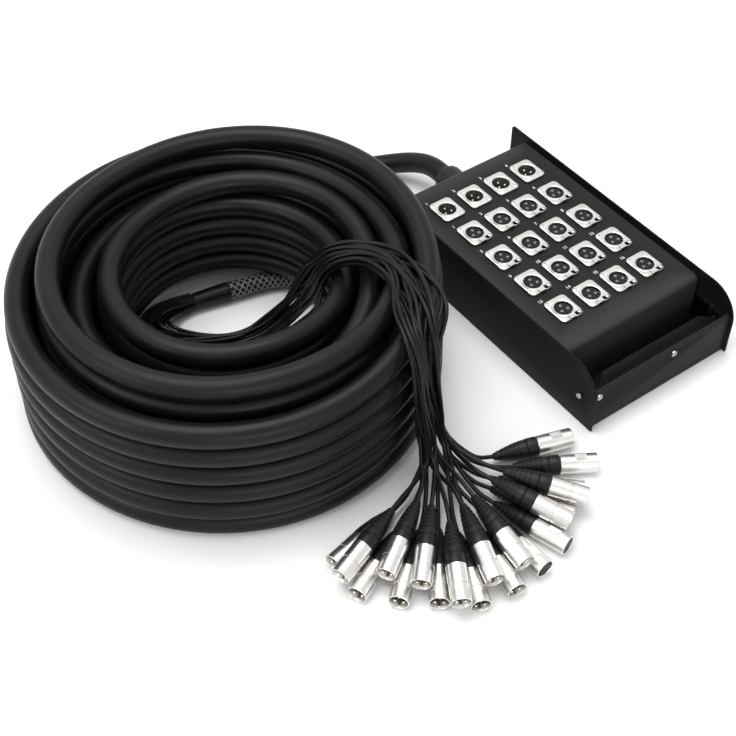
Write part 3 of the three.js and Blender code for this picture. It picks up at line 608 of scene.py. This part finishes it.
def braid_strand(bm, frames, direction, phase, slot):
    """One flat ribbon wound round the sleeve, rising and falling as it crosses the others."""
    length = route_length([frame_at[0] for frame_at in frames])
    last = None
    for index in range(int(len(frames) * BAND_SHARE)):
        point, tangent, side, up = frames[index]
        wound = math.tau * (length * index / (len(frames) - 1)) / BRAID_TURN_LENGTH
        turn = direction * wound + phase
        weave = math.sin(BRAID_STRANDS * wound + phase * 5)
        radius = SLEEVE_RADIUS - BRAID_INSET + direction * BRAID_WEAVE * weave
        spoke = side * math.cos(turn) + up * math.sin(turn)
        across = side * -math.sin(turn) + up * math.cos(turn)
        run = (tangent * BRAID_TURN_LENGTH + across * direction * math.tau * radius).normalized()
        flat = spoke.cross(run).normalized() * (RIBBON_WIDTH / 2)
        lift = spoke * (RIBBON_THICKNESS / 2)
        middle = point + spoke * radius
        offsets = (-flat - lift, flat - lift, flat + lift, lift - flat)
        ring = [bm.verts.new((middle + offset) * MM) for offset in offsets]
        if last:
            join_rings(bm, last, ring, slot)
        else:
            bm.faces.new(ring[::-1]).material_index = slot
        last = ring
    bm.faces.new(last).material_index = slot


def band_radius(share):
    """The shrunk band tapers towards the tails, and its ends curl in."""
    radius = SLEEVE_RADIUS - BAND_INSET - BAND_TAPER * share
    if share < BAND_LIP_SHARE:
        radius -= BAND_FRONT_LIP
    if share > 1 - BAND_LIP_SHARE:
        radius -= BAND_REAR_LIP
    return radius


def make_sleeve(cable_route):
    """The braided sleeve over the cable's end, with the band that closes it round the tails."""
    route = sleeve_route(cable_route)
    frames = frames_along(route)
    bm = bmesh.new()
    cut = int(len(frames) * BAND_SHARE)
    tube_mesh(bm, frames[: cut + 2], lambda share: SLEEVE_RADIUS - CORE_INSET, CORE_SIDES, 0)
    # The ribbons take the braid's light grey, a painted highlight.
    for step in range(BRAID_STRANDS):
        phase = math.tau * step / BRAID_STRANDS
        braid_strand(bm, frames, 1, phase, 1)
        braid_strand(bm, frames, -1, phase, 1)
    tube_mesh(bm, frames[cut - 1 :], band_radius, BAND_SIDES, 2)
    mesh = mesh_from(bm, "breakout_sleeving", [TAIL, BRAID_PAINTED_HIGHLIGHT, BOOT])
    sleeve = link(bpy.data.objects.new("breakout_sleeving", mesh))
    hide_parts("breakout_sleeve")
    return sleeve, route


# ---- the plugs

PLUG_RADIUS = 9.3
BARREL_LENGTH = 43.0
COLLAR_LENGTH = 4.0
BOOT_LENGTH = 30.0
BOOT_START = 34.6           # the boot's collar covers the shell's rear
PLUG_LENGTH = BARREL_LENGTH + COLLAR_LENGTH + BOOT_LENGTH
PLUG_BORE = 8.0
PLUG_SIDES = 48
BOOT_SIDES = 28
BOOT_RIBS = ((0.42, 8.3), (0.52, 7.7), (0.62, 6.9), (0.72, 6.0), (0.82, 5.0))  # place and radius
CUP_DEPTH = 14.0
CUP_FLOOR_SIDES = 40
CONTACT_CIRCLE = 4.3
CONTACT_RADIUS = 1.2
CONTACT_SIDES = 12
CONTACT_TURNS = (1 / 4, 7 / 12, 11 / 12)
SEND_PIN_TIP = 2.0          # below the nose
KEY_WIDTH = 2.2
KEY_HEIGHT = 1.6
RETURN_INSERT = 6.4
RETURN_INSERT_SIDES = 36
RETURN_HOLE_SHADE_RADIUS = 1.35
RETURN_HOLE_SHADE_SIDES = 14
RETURN_SHELL_FLOOR = 9.0
BUTTON_SETBACK = 11.0       # from the nose to the release button
BUTTON_LENGTH = 9.0
BUTTON_WIDTH = 5.0
BUTTON_RIM = 1.0
PLUG_GROUND_GAP = 0.06
FAN_CENTRE = (-240.0, -125.6)
UPPER_REAR_LIFT = 16.9      # how high the plugs that lie on others are held, at both ends
UPPER_NOSE_LIFT = 11.3
# Each plug's direction from the fan's centre, its nose's distance, and 1 if it lies on others.
PLUG_LIES = [
    (192, 138, 0), (199, 150, 1), (205.6, 152, 0), (212.4, 130, 1), (219.2, 146, 0),
    (226, 132, 1), (232.8, 142, 0), (239.6, 150, 1), (246.4, 148, 0), (253.2, 134, 1),
    (260, 144, 0), (266.8, 130, 1), (273.6, 139, 0), (287.2, 138, 0), (294, 130, 1),
    (300.8, 128, 0), (307.6, 136, 1), (314.4, 132, 0), (328, 146, 0), (341.8, 131, 0),
]
RETURN_LIES = (12, 13, 18, 19)


def contact_places():
    turns = [math.tau * turn for turn in CONTACT_TURNS]
    return [(CONTACT_CIRCLE * math.cos(turn), CONTACT_CIRCLE * math.sin(turn)) for turn in turns]


def shell_profile():
    """The nose with its open cup, a fine groove behind it and the part under the boot's collar."""
    r = PLUG_RADIUS
    return [
        (0, CUP_DEPTH), (PLUG_BORE, CUP_DEPTH), (PLUG_BORE, 0.5), (PLUG_BORE + 0.35, 0),
        (r - 0.45, 0), (r - 0.1, 0.35), (r - 0.1, 15), (r - 0.55, 15.3), (r - 0.55, 16.1),
        (r, 16.4), (r, BOOT_START - 0.6), (r - 0.5, BOOT_START), (0, BOOT_START),
    ]


def add_boot(bm, slot):
    """The rubber boot: a full collar, a shallow waist, then a taper with grooves to the cord."""
    r = PLUG_RADIUS
    z = BOOT_START
    profile = [
        (0, z - 0.3), (r - 0.7, z - 0.3), (r - 0.05, z + 0.4), (r, z + 1.2), (r - 0.1, z + 9.5),
        (r - 0.5, z + 10.3), (r - 0.9, z + 10.6), (r - 0.9, z + 11.4), (r - 0.4, z + 11.8),
    ]
    for share, radius in BOOT_RIBS:
        spot = z + (PLUG_LENGTH - z) * share
        profile += [
            (radius, spot), (radius - 0.35, spot + 0.5), (radius - 0.4, spot + 1.1),
            (radius - 0.1, spot + 1.6),
        ]
    profile += [
        (3.9, PLUG_LENGTH - 3.5), (3.3, PLUG_LENGTH - 0.8), (2.7, PLUG_LENGTH), (0, PLUG_LENGTH),
    ]
    lathe(bm, profile, BOOT_SIDES, slot)


def add_contacts(bm, base, tip, slot):
    """Three round contacts with domed tips."""
    r = CONTACT_RADIUS
    sign = -1 if tip < base else 1
    profile = [(0, base), (r, base), (r, tip - sign * 0.7), (r * 0.6, tip - sign * 0.1), (0, tip)]
    for x, y in contact_places():
        lathe(bm, profile, CONTACT_SIDES, slot, shift(x, y, 0))


def send_plug_mesh():
    """The plug with an open cup, three pins and a key in it."""
    bm = bmesh.new()
    lathe(bm, shell_profile(), PLUG_SIDES, 0)
    r = PLUG_BORE - 0.1
    floor = [(0, CUP_DEPTH - 1.2), (r, CUP_DEPTH - 1.2), (r, CUP_DEPTH + 0.5), (0, CUP_DEPTH + 0.5)]
    lathe(bm, floor, CUP_FLOOR_SIDES, 2)
    add_contacts(bm, CUP_DEPTH, SEND_PIN_TIP, 3)
    key_place = (0, -PLUG_BORE + 0.5, CUP_DEPTH / 2 + 0.8)
    add_block(bm, (KEY_WIDTH, KEY_HEIGHT, CUP_DEPTH - 2.5), key_place)
    add_boot(bm, 1)
    return mesh_from(bm, "send_plug", [NICKEL, BOOT, INSERT, CONTACT])


def return_plug_mesh():
    """The plug whose black face shows three holes as thin black discs of painted shade, with a
    pocket for its release button.
    """
    bm = bmesh.new()
    r = PLUG_RADIUS
    inner = RETURN_INSERT + 0.1
    shell = [
        (inner, RETURN_SHELL_FLOOR), (PLUG_BORE - 0.1, RETURN_SHELL_FLOOR), (PLUG_BORE - 0.1, 0.5),
        (PLUG_BORE + 0.3, 0), (r - 0.4, 0), (r, 0.5), (r, BOOT_START - 0.6), (r - 0.5, BOOT_START),
        (inner, BOOT_START),
    ]
    lathe(bm, shell, PLUG_SIDES, 0)
    face = [
        (0, RETURN_SHELL_FLOOR - 1), (RETURN_INSERT, RETURN_SHELL_FLOOR - 1), (RETURN_INSERT, 0.7),
        (RETURN_INSERT - 0.4, 0.3), (0, 0.3),
    ]
    lathe(bm, face, RETURN_INSERT_SIDES, 2)
    # The holes are thin black discs on the face: painted shade where the holes would look dark.
    painted_hole_shade = [(0, 0.22), (RETURN_HOLE_SHADE_RADIUS, 0.22), (RETURN_HOLE_SHADE_RADIUS, 0.45), (0, 0.45)]
    for x, y in contact_places():
        lathe(bm, painted_hole_shade, RETURN_HOLE_SHADE_SIDES, 3, shift(x, y, 0))
    rim = (BUTTON_WIDTH + 2 * BUTTON_RIM, 0.8, BUTTON_LENGTH + 2 * BUTTON_RIM)
    add_block(bm, rim, (0, r - 0.45, BUTTON_SETBACK + BUTTON_LENGTH / 2))
    add_boot(bm, 1)
    return mesh_from(bm, "return_plug", [NICKEL, BOOT, INSERT, TAIL])


def plug_frame(lie):
    """Where a plug lies: a matrix with its length along +Z and its top along +Y, nose and back."""
    degrees, reach, upper = lie
    turn = math.radians(degrees)
    ray = Vector((math.cos(turn), math.sin(turn), 0))
    slope = (UPPER_REAR_LIFT - UPPER_NOSE_LIFT) / BARREL_LENGTH if upper else 0.0
    lift = PLUG_RADIUS + PLUG_GROUND_GAP + (UPPER_NOSE_LIFT if upper else 0.0)
    nose = Vector((*FAN_CENTRE, lift)) + ray * reach
    back = Vector((-ray.x, -ray.y, slope)).normalized()
    across = UP.cross(back).normalized()
    top = back.cross(across)
    matrix = Matrix((across, top, back)).transposed().to_4x4()
    matrix.translation = nose * MM
    return matrix, nose, back


# ---- the tails

TAIL_DIAMETER = 4.2
TAIL_SIDES = 2              # Blender's bevel resolution of a tail
TAIL_COUNT = len(PLUG_LIES)
TAIL_POINTS = 38
TAIL_SEED = 23
TAIL_CLEARANCE = 13.6       # from the coil's centreline to a tail's own, where they touch
TAIL_GROUND_GAP = 0.2
COIL_TREE_SPACING = 4.0     # between the coil's points that the tails are held clear of
BUNDLE_SPACING = 8.0
BUNDLE_LEAD = 6.0           # the bundle's straight first stretch
BUNDLE_ROWS = (6, 7, 7)     # the tails in each layer of the flat bundle
SEAT_STAGGER = 0.1          # how far one layer lies beside the next, in half widths
SEAT_STRAYS = (0.1, 0.25)   # how far a tail may lie from its seat, across and through the bundle
UPRIGHT_HEIGHTS = (26, 60)  # between these the bundle turns from level to upright
TOP_HEIGHTS = (138, 156)    # and between these back to level on top of the coil
NORMAL_PASSES = 4
# Along the bundle: its half width and half thickness, how far it lies to its left, and how far
# it sinks towards what it lies on.
BUNDLE_HALF_WIDTHS = (6.5, 10, 14, 18, 17, 14, 17, 8, 8, 14, 18, 20, 20, 19)
BUNDLE_HALF_THICKNESSES = (5.5, 6, 6, 6, 6, 6, 6, 6, 4, 3.5, 3.5, 4, 5, 6)
BUNDLE_SHIFTS = (0, 0, -4, -8, -10, -8, -3, 0, 3, 8, 12, 14, 10, 4)
BUNDLE_SINKS = (0, 0, 0, 0, 0, 0, 0, 3, 7, 7, 6, 5, 2, 0)
TAIL_WAVES = ((1.3, 0.42), (2.7, 0.26), (5.1, 0.09))    # waves along the bundle, and their reach
LOOSE_FROM_SHARE = 0.12     # the waves have grown full here
TAIL_WIDEST = 1.25          # the waves' limits, in half widths and half thicknesses
TAIL_LOWEST = -1.0
TAIL_HIGHEST = 1.1
TAIL_BULGE = 7.0            # how far the loosest tail hangs out from the coil
BULGE_START_SHARE = 0.76
BULGE_LENGTH_SHARE = 0.34
TAIL_CROSSING = 2.6         # how many places a tail may stray from its plug's own
DROP_STEP = 6.0             # between the points of a tail's way from the bundle to its plug
DROP_PULLS = (0.3, 0.5)     # how far it holds the bundle's direction, as shares of that way
APPROACH_SHARES = (0.25, 0.4)   # and how far ahead it takes the plug's direction
SETTLE_PASSES = 3
BOOT_ENTRY = 1.5            # how deep a tail's end lies in the boot
TAIL_LEAD = 10.0            # a tail's straight last stretch behind the boot


def along_list(values, share):
    """The value at a share of a list whose values are evenly spaced."""
    return between_places(values, clamp(share) * (len(values) - 1))


def bundle_normals(points):
    """The side of the flat bundle that faces away from what it lies on, at each point."""
    normals = []
    for point in points:
        spoke = Vector((point.x - COIL_CENTRE[0], point.y - COIL_CENTRE[1], 0))
        radial = spoke.normalized()
        inner = spoke.length < OUTER_RADIUS - 2 * COLUMN_PITCH
        upright = ease(point.z, *UPRIGHT_HEIGHTS) * (1 - ease(point.z, *TOP_HEIGHTS))
        face = -radial if inner else radial
        normals.append((face * upright + UP * (1 - upright)).normalized())
    for _ in range(NORMAL_PASSES):
        normals = [
            (normals[max(i - 1, 0)] + n * 2 + normals[min(i + 1, len(normals) - 1)]).normalized()
            for i, n in enumerate(normals)
        ]
    return normals


def tail_seats(rng):
    """Each tail's seat in the bundle's cross-section, from -1 to 1 both ways."""
    across, through = SEAT_STRAYS
    seats = []
    for layer, count in enumerate(BUNDLE_ROWS, -1):
        for step in range(count):
            u = (step + 0.5) / count * 2 - 1 + SEAT_STAGGER * layer
            u += rng.uniform(-across, across)
            seats.append((u, layer + rng.uniform(-through, through)))
    return sorted(seats)


def plug_order(rng):
    """The tails on one edge of the bundle serve that side's plugs, but for a few that cross."""
    return sorted(
        range(TAIL_COUNT), key=lambda index: -index + rng.uniform(-TAIL_CROSSING, TAIL_CROSSING)
    )


def coil_tree(route):
    """A search tree of closely spaced points on the multicore's centreline."""
    points = even_steps(route, COIL_TREE_SPACING)
    tree = kdtree.KDTree(len(points))
    for index, point in enumerate(points):
        tree.insert(point, index)
    tree.balance()
    return tree


def clear_of_coil(points, tree):
    """Moves points that lie inside the cable out to its surface, and none under the ground."""
    cleared = []
    for point in points:
        near, _, distance = tree.find(point)
        if distance < TAIL_CLEARANCE:
            point = near + (point - near).normalized() * TAIL_CLEARANCE
        point.z = max(point.z, TAIL_DIAMETER / 2 + TAIL_GROUND_GAP)
        cleared.append(point)
    return cleared


def smoothed(points):
    """The points, each but the first and last drawn towards its neighbours."""
    inner = [(a + 2 * b + c) / 4 for a, b, c in zip(points, points[1:], points[2:])]
    return [points[0], *inner, points[-1]]


def tail_in_bundle(frames, normals, seat, rng):
    """One tail's own loose way along the bundle."""
    phases = [(rng.uniform(0, math.tau), rng.uniform(0, math.tau)) for _ in TAIL_WAVES]
    bulge = TAIL_BULGE * rng.uniform(0, 1) ** 1.5
    points = []
    for index, (point, tangent, _, _) in enumerate(frames):
        share = index / (len(frames) - 1)
        side = tangent.cross(normals[index]).normalized()
        normal = side.cross(tangent).normalized()
        loose = ease(share, 0.0, LOOSE_FROM_SHARE)
        u, v = seat
        for (waves, reach), (phase, other) in zip(TAIL_WAVES, phases):
            u += loose * reach * math.sin(math.tau * waves * share + phase)
            v += loose * reach * math.sin(math.tau * waves * share + other)
        u = clamp(u, -TAIL_WIDEST, TAIL_WIDEST)
        v = clamp(v, TAIL_LOWEST, TAIL_HIGHEST)
        sideways = u * along_list(BUNDLE_HALF_WIDTHS, share) + along_list(BUNDLE_SHIFTS, share)
        outwards = v * along_list(BUNDLE_HALF_THICKNESSES, share) - along_list(BUNDLE_SINKS, share)
        hanging = clamp((share - BULGE_START_SHARE) / BULGE_LENGTH_SHARE)
        spot = point + side * sideways + normal * outwards
        spot += normal * (bulge * math.sin(math.pi * hanging))
        points.append(spot)
    return points


def finish_tail(points, lie, tree, rng):
    """Carries a tail on from the bundle's end to the back of its plug's boot."""
    _, nose, back = plug_frame(lie)
    goal = nose + back * (PLUG_LENGTH - BOOT_ENTRY)
    behind = goal + back * TAIL_LEAD
    start = points[-1]
    heading = (points[-1] - points[-3]).normalized()
    span = (goal - start).length
    pull = span * rng.uniform(*DROP_PULLS)
    approach = goal + back * span * rng.uniform(*APPROACH_SHARES)
    steps = max(4, int(span / DROP_STEP))
    drop = []
    for step in range(1, steps):
        t = step / steps
        drop.append(
            start * (1 - t) ** 3
            + (start + heading * pull) * 3 * t * (1 - t) ** 2
            + approach * 3 * t * t * (1 - t)
            + behind * t ** 3
        )
    points = clear_of_coil(points + drop, tree)
    for _ in range(SETTLE_PASSES):
        points = clear_of_coil(smoothed(points), tree)
    route = even_steps(smooth_route([*points[::2], behind], 3.0), 1.0)
    route += [goal + back * TAIL_LEAD / 2, goal]
    return even_steps(route, route_length(route) / (TAIL_POINTS - 1))


def tail_routes(sleeve_points, cable_route):
    """All tails side by side along the bundle's route, then apart to their plugs."""
    rng = random.Random(TAIL_SEED)
    end = sleeve_points[-1]
    heading = (end - sleeve_points[-2]).normalized()
    lead = [end + heading * SLEEVE_GAP, end + heading * BUNDLE_LEAD]
    spine = smooth_route([*lead, *map(Vector, BUNDLE_ROUTE)], BUNDLE_SPACING)
    frames = frames_along(spine)
    normals = bundle_normals(spine)
    tree = coil_tree(cable_route)
    routes = [None] * TAIL_COUNT
    for seat, plug in zip(tail_seats(rng), plug_order(rng)):
        points = tail_in_bundle(frames, normals, seat, rng)
        routes[plug] = finish_tail(points, PLUG_LIES[plug], tree, rng)
    return routes


def make_tails(sleeve_points, cable_route, plugs):
    routes = tail_routes(sleeve_points, cable_route)
    for number, (points, plug) in enumerate(zip(routes, plugs), 1):
        tail = cord_curve(f"tail_{number}", points, TAIL_DIAMETER, TAIL, TAIL_SIDES)
        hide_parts("fanout_tails")


def make_plugs():
    """All the plugs where they lie, as lists of the pieces that go with each tail."""
    send_mesh = send_plug_mesh()
    return_mesh = return_plug_mesh()
    plugs = []
    returns = 0
    sends = 0
    for index, lie in enumerate(PLUG_LIES):
        if index in RETURN_LIES:
            returns += 1
            plug = put_plug(return_mesh, f"return_plug_shell_{returns}", lie)
            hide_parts(f"return_plug_{returns}")
            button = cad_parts[f"return_plug_latch_{returns}"]
            set_material(button, STEEL)
            plugs.append([plug, button])
        else:
            sends += 1
            plug = put_plug(send_mesh, f"send_plug_{sends}", lie)
            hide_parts("fanout_tails")
            plugs.append([plug])
    return plugs


def put_plug(mesh, name, lie):
    plug = bpy.data.objects.new(name, mesh)
    plug.matrix_world = plug_frame(lie)[0]
    link(plug)
    return plug


# ---- the panel's connectors

PLATE_WIDTH = 26.0
PLATE_LENGTH = 31.0
PLATE_THICKNESS = 2.4
PLATE_BEVEL = 0.35
PLATE_CORNER = 4.5
CORNER_STEPS = 6
SHELL_BORE = 9.6
SHELL_SIDES = 48
LATCH_WIDTH = 6.8
LATCH_LENGTH = 5.0
LATCH_GAP = 0.3
SEND_INSERT = 7.7
SEND_INSERT_RECESS = 0.5    # below the plate's face
SEND_INSERT_SIDES = 40
SEND_RIM_SIDES = 16
SEND_SHELL_DEPTH = 11.0     # below the panel's face
RETURN_SHELL_DEPTH = 13.2
RETURN_CUP_FLOOR = -12.4
RETURN_PIN_RECESS = 2.0
COLUMN_STEP = 35.5
ROW_STEP = 44.5
GRID_SHIFT = 2.3
RETURN_ROW_Y = 103.7
PANEL_HEIGHT = 64.0
SEAT_GAP = 0.3
FIXING_PLACES = ((-9.7, 12.2), (9.7, -12.2))
FIXING_SIDES = 20
FIXING_HEAD = ((0, -0.4), (2.0, -0.4), (2.0, 0.3), (1.5, 0.75), (0.9, 0.85), (0.8, 0.35), (0, 0.35))
NUMBER_SIZE = 5.2
NUMBER_THICKNESS = 0.05
NUMBER_BOLDNESS = 0.08
NUMBER_SHIFT = (2.5, 5.2)   # from the plate's upper left corner to the number's middle
NUMBER_LIFT = 0.06


def plate_outline(notched):
    """The plate's rim with round corners, and a notch for the latch."""
    x, y, r = PLATE_WIDTH / 2, PLATE_LENGTH / 2, PLATE_CORNER
    corners = ((x - r, y - r, 0), (r - x, y - r, 90), (r - x, r - y, 180), (x - r, r - y, 270))
    points = []
    for cx, cy, start in corners:
        for step in range(CORNER_STEPS + 1):
            turn = math.radians(start + 90 * step / CORNER_STEPS)
            points.append((cx + r * math.cos(turn), cy + r * math.sin(turn)))
        if notched and start == 180:
            w = LATCH_WIDTH / 2 + LATCH_GAP
            depth = -y + LATCH_LENGTH + LATCH_GAP
            points += [(-w, -y), (-w, depth), (w, depth), (w, -y)]
    return points


def socket_plate(notched):
    """The plate with its round opening and two screws."""
    outlines = [plate_outline(notched), circle_points(SHELL_BORE, SHELL_SIDES)]
    bm = plate_bmesh(outlines, PLATE_THICKNESS, PLATE_BEVEL)
    for x, y in FIXING_PLACES:
        lathe(bm, FIXING_HEAD, FIXING_SIDES, 3, shift(x, y, PLATE_THICKNESS))
    return bm


def add_shell(bm, depth):
    """The round wall inside the plate's hole, with a rolled lip on top."""
    r = SHELL_BORE
    top = PLATE_THICKNESS
    profile = [
        (r, top - 0.5), (r - 0.15, top + 0.25), (r + 0.45, top + 0.55), (r + 1.3, top + 0.5),
        (r + 1.7, top), (r + 1.7, -depth), (0, -depth), (0, 0.6 - depth), (r - 0.1, 0.6 - depth),
        (r - 0.1, top - 0.6),
    ]
    lathe(bm, profile, SHELL_SIDES, 0)


def send_socket_mesh():
    """A connector whose black insert shows three holes as thin black discs of painted shade, each
    with a bright rim.
    """
    bm = socket_plate(True)
    add_shell(bm, SEND_SHELL_DEPTH)
    r = SEND_INSERT
    top = PLATE_THICKNESS - SEND_INSERT_RECESS
    low = 0.5 - SEND_SHELL_DEPTH
    insert = [(0, low), (r, low), (r, top - 0.5), (r - 0.5, top), (0, top)]
    lathe(bm, insert, SEND_INSERT_SIDES, 1)
    rim = [(0.85, 0.03), (1.25, 0.03), (1.25, 0.1), (0.85, 0.1)]
    # Each of the three holes is a thin black disc on the insert: painted shade where the holes
    # would look dark.
    painted_hole_shade = [(0, 0.02), (0.9, 0.02), (0.9, 0.06), (0, 0.06)]
    for x, y in contact_places():
        lathe(bm, rim, SEND_RIM_SIDES, 2, shift(x, y, top))
        lathe(bm, painted_hole_shade, CONTACT_SIDES, 4, shift(x, y, top))
    return mesh_from(bm, "send_socket", [NICKEL, INSERT, CONTACT, STEEL, TAIL])


def return_socket_mesh():
    """A connector with an open cup and three pins."""
    bm = socket_plate(False)
    add_shell(bm, RETURN_SHELL_DEPTH)
    r = SHELL_BORE - 0.3
    low = RETURN_CUP_FLOOR
    lathe(bm, [(0, low), (r, low), (r, low + 1.2), (0, low + 1.2)], CUP_FLOOR_SIDES, 1)
    add_contacts(bm, low, PLATE_THICKNESS - RETURN_PIN_RECESS, 2)
    return mesh_from(bm, "return_socket", [NICKEL, INSERT, CONTACT, STEEL])


def socket_place(column, row):
    """Where a connector's plate sits on the panel; row 0 is the one at the back."""
    x = GRID_SHIFT + (column - 1.5) * COLUMN_STEP
    return Vector((x, RETURN_ROW_Y - row * ROW_STEP, PANEL_HEIGHT + SEAT_GAP))


def number_mesh(text):
    """Plain printed digits as a thin mesh."""
    data = bpy.data.curves.new("number_outline", "FONT")
    data.body = text
    data.size = NUMBER_SIZE * MM
    data.extrude = NUMBER_THICKNESS * MM
    data.align_x = "CENTER"
    data.align_y = "CENTER"
    data.offset = NUMBER_BOLDNESS * MM
    return mesh_from(bmesh_of_curve(data), f"number_{text}", [INK])


def make_sockets():
    """One row of return sockets at the back, four rows of send sockets, and their numbers."""
    send_mesh = send_socket_mesh()
    return_mesh = return_socket_mesh()
    for row in range(5):
        kind, mesh = ("send", send_mesh) if row else ("return", return_mesh)
        for column in range(4):
            number = max(row - 1, 0) * 4 + column + 1
            place = socket_place(column, row)
            put_socket(mesh, f"{kind}_connector_{number}", f"{kind}_socket_{number}", place)
            put_number(str(number), place, f"{kind}_number_{number}")
            if row:
                set_material(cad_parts[f"send_latch_{number}"], STEEL)


def put_socket(mesh, name, node, place):
    socket = bpy.data.objects.new(name, mesh)
    socket.location = place * MM
    link(socket)
    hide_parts(node)


def put_number(text, place, name):
    right, up = NUMBER_SHIFT
    spot = place + Vector((right - PLATE_WIDTH / 2, PLATE_LENGTH / 2 + up, 0))
    spot.z = PANEL_HEIGHT + NUMBER_LIFT
    piece = bpy.data.objects.new(name, number_mesh(text))
    piece.location = spot * MM
    link(piece)


# ---- the box

FLAT_DEGREES = 1.0          # faces that turn less than this are one
SHARP_DEGREES = 30.0        # edges that turn more than this are broken
BOX_SMOOTH_DEGREES = 40.0
# The CAD node, the visual piece's name, its material, its edges' width and its slot.
BOX_PIECES = (
    ("top_panel", "connector_panel", PANEL, 0.25, "panel_coat"),
    ("base_pan", "bottom_pan", POWDER, 0.25, "powder_coat"),
    ("left_cheek", "cheek_plate_left", POWDER, 0.35, "powder_coat"),
    ("right_cheek", "cheek_plate_right", POWDER, 0.35, "powder_coat"),
    ("cable_gland", "gland_body", GLAND, 0.4, "gland_plastic"),
    ("gland_nut", "gland_cap", GLAND, 0.4, "gland_plastic"),
)


def set_material(piece, material):
    piece.data.materials.clear()
    piece.data.materials.append(material)


def bevelled_copy(node, name, material, width):
    """The CAD node's own shape with its sharp edges broken."""
    bm = bmesh.new()
    bm.from_mesh(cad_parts[node].data)
    bmesh.ops.remove_doubles(bm, verts=bm.verts, dist=MERGE_DISTANCE)
    bmesh.ops.dissolve_limit(
        bm, angle_limit=math.radians(FLAT_DEGREES), verts=bm.verts, edges=bm.edges
    )
    sharp = [
        edge for edge in bm.edges
        if len(edge.link_faces) == 2 and edge.calc_face_angle(0) > math.radians(SHARP_DEGREES)
    ]
    bmesh.ops.bevel(
        bm, geom=sharp, offset=width * MM, segments=2, affect="EDGES", clamp_overlap=True
    )
    piece = bpy.data.objects.new(name, mesh_from(bm, name, [material], BOX_SMOOTH_DEGREES))
    link(piece)
    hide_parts(node)


def make_box():
    for node, name, material, width, slot in BOX_PIECES:
        bevelled_copy(node, name, material, width)
    for name in ("front_screw_left", "front_screw_middle", "side_screw_left", "side_screw_right"):
        set_material(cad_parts[name], SCREW)


# ---- stage and light

FLOOR_HALF_SIDE = 6.0       # metres
FLOOR_PLACE = (-0.2, 0, -0.0005)
FLOOR_COLOUR = (0.9, 0.9, 0.9, 1)
FLOOR_ROUGHNESS = 0.9
FLOOR_SHINE = 0.1
ROOM_LIGHT = 0.8            # the white room's own light on the object and the floor
ROOM_SHADE = 0.22           # the same near the ground, where black screens stand
ROOM_FULL_HEIGHT = 0.75     # the share of the way up at which the room is fully lit
# Name, place and target in metres, sides in metres, and power in watts.
LAMPS = (
    ("top_softbox", (-0.35, 0.35, 2.0), (-0.25, 0, 0), (1.7, 1.3), 34),
    ("left_softbox", (-2.1, 0.2, 1.1), (-0.3, 0, 0.05), (1.0, 0.8), 9),
    ("front_softbox", (-0.9, -1.8, 0.8), (-0.2, 0, 0.05), (1.3, 0.6), 9),
)


def make_stage():
    bm = bmesh.new()
    bmesh.ops.create_grid(bm, x_segments=1, y_segments=1, size=FLOOR_HALF_SIDE)
    mesh = bpy.data.meshes.new("floor")
    bm.to_mesh(mesh)
    bm.free()
    floor = bpy.data.objects.new("floor", mesh)
    floor.location = FLOOR_PLACE
    bpy.context.scene.collection.objects.link(floor)
    material = bpy.data.materials.new("pale_floor")
    material.use_nodes = True
    surface = material.node_tree.nodes["Principled BSDF"]
    surface.inputs["Base Color"].default_value = FLOOR_COLOUR
    surface.inputs["Roughness"].default_value = FLOOR_ROUGHNESS
    surface.inputs["Specular IOR Level"].default_value = FLOOR_SHINE
    mesh.materials.append(material)


def make_world():
    """A room that lights from overhead and dims towards the ground, and that is seen as white."""
    world = bpy.data.worlds.new("white_room")
    bpy.context.scene.world = world
    world.use_nodes = True
    tree = world.node_tree
    background = tree.nodes["Background"]
    place = add_node(tree, "ShaderNodeTexCoord")
    parts = add_node(tree, "ShaderNodeSeparateXYZ")
    height = add_node(
        tree,
        "ShaderNodeMapRange",
        {"From Max": ROOM_FULL_HEIGHT, "To Min": ROOM_SHADE, "To Max": ROOM_LIGHT},
        interpolation_type="SMOOTHSTEP",
    )
    rays = add_node(tree, "ShaderNodeLightPath")
    seen = add_node(tree, "ShaderNodeMath", operation="MAXIMUM")
    shown = add_node(tree, "ShaderNodeMath", operation="MAXIMUM")
    strength = add_node(tree, "ShaderNodeMix", {"B": 1.0}, data_type="FLOAT")
    join = tree.links.new
    join(place.outputs["Generated"], parts.inputs["Vector"])
    join(parts.outputs["Z"], height.inputs["Value"])
    join(rays.outputs["Is Camera Ray"], seen.inputs[0])
    join(rays.outputs["Is Transmission Ray"], seen.inputs[1])
    join(seen.outputs["Value"], shown.inputs[0])
    join(rays.outputs["Is Glossy Ray"], shown.inputs[1])
    join(shown.outputs["Value"], strength.inputs["Factor"])
    join(height.outputs["Result"], strength.inputs["A"])
    join(strength.outputs["Result"], background.inputs["Strength"])
    background.inputs["Color"].default_value = (1, 1, 1, 1)


def make_light(name, place, target, sides, power):
    data = bpy.data.lights.new(name, "AREA")
    data.shape = "RECTANGLE"
    data.size, data.size_y = sides
    data.energy = power
    lamp = bpy.data.objects.new(name, data)
    lamp.location = place
    aim = Vector(target) - Vector(place)
    lamp.rotation_euler = aim.to_track_quat("-Z", "Y").to_euler()
    bpy.context.scene.collection.objects.link(lamp)


def make_lights():
    for lamp in LAMPS:
        make_light(*lamp)
    bpy.context.scene.view_settings.view_transform = "Standard"


# ---- everything

make_camera()
make_box()
make_sockets()
cable, cable_route = make_multicore()
sleeve, sleeve_points = make_sleeve(cable_route)
plugs = make_plugs()
make_tails(sleeve_points, cable_route, plugs)
make_stage()
make_world()
make_lights()
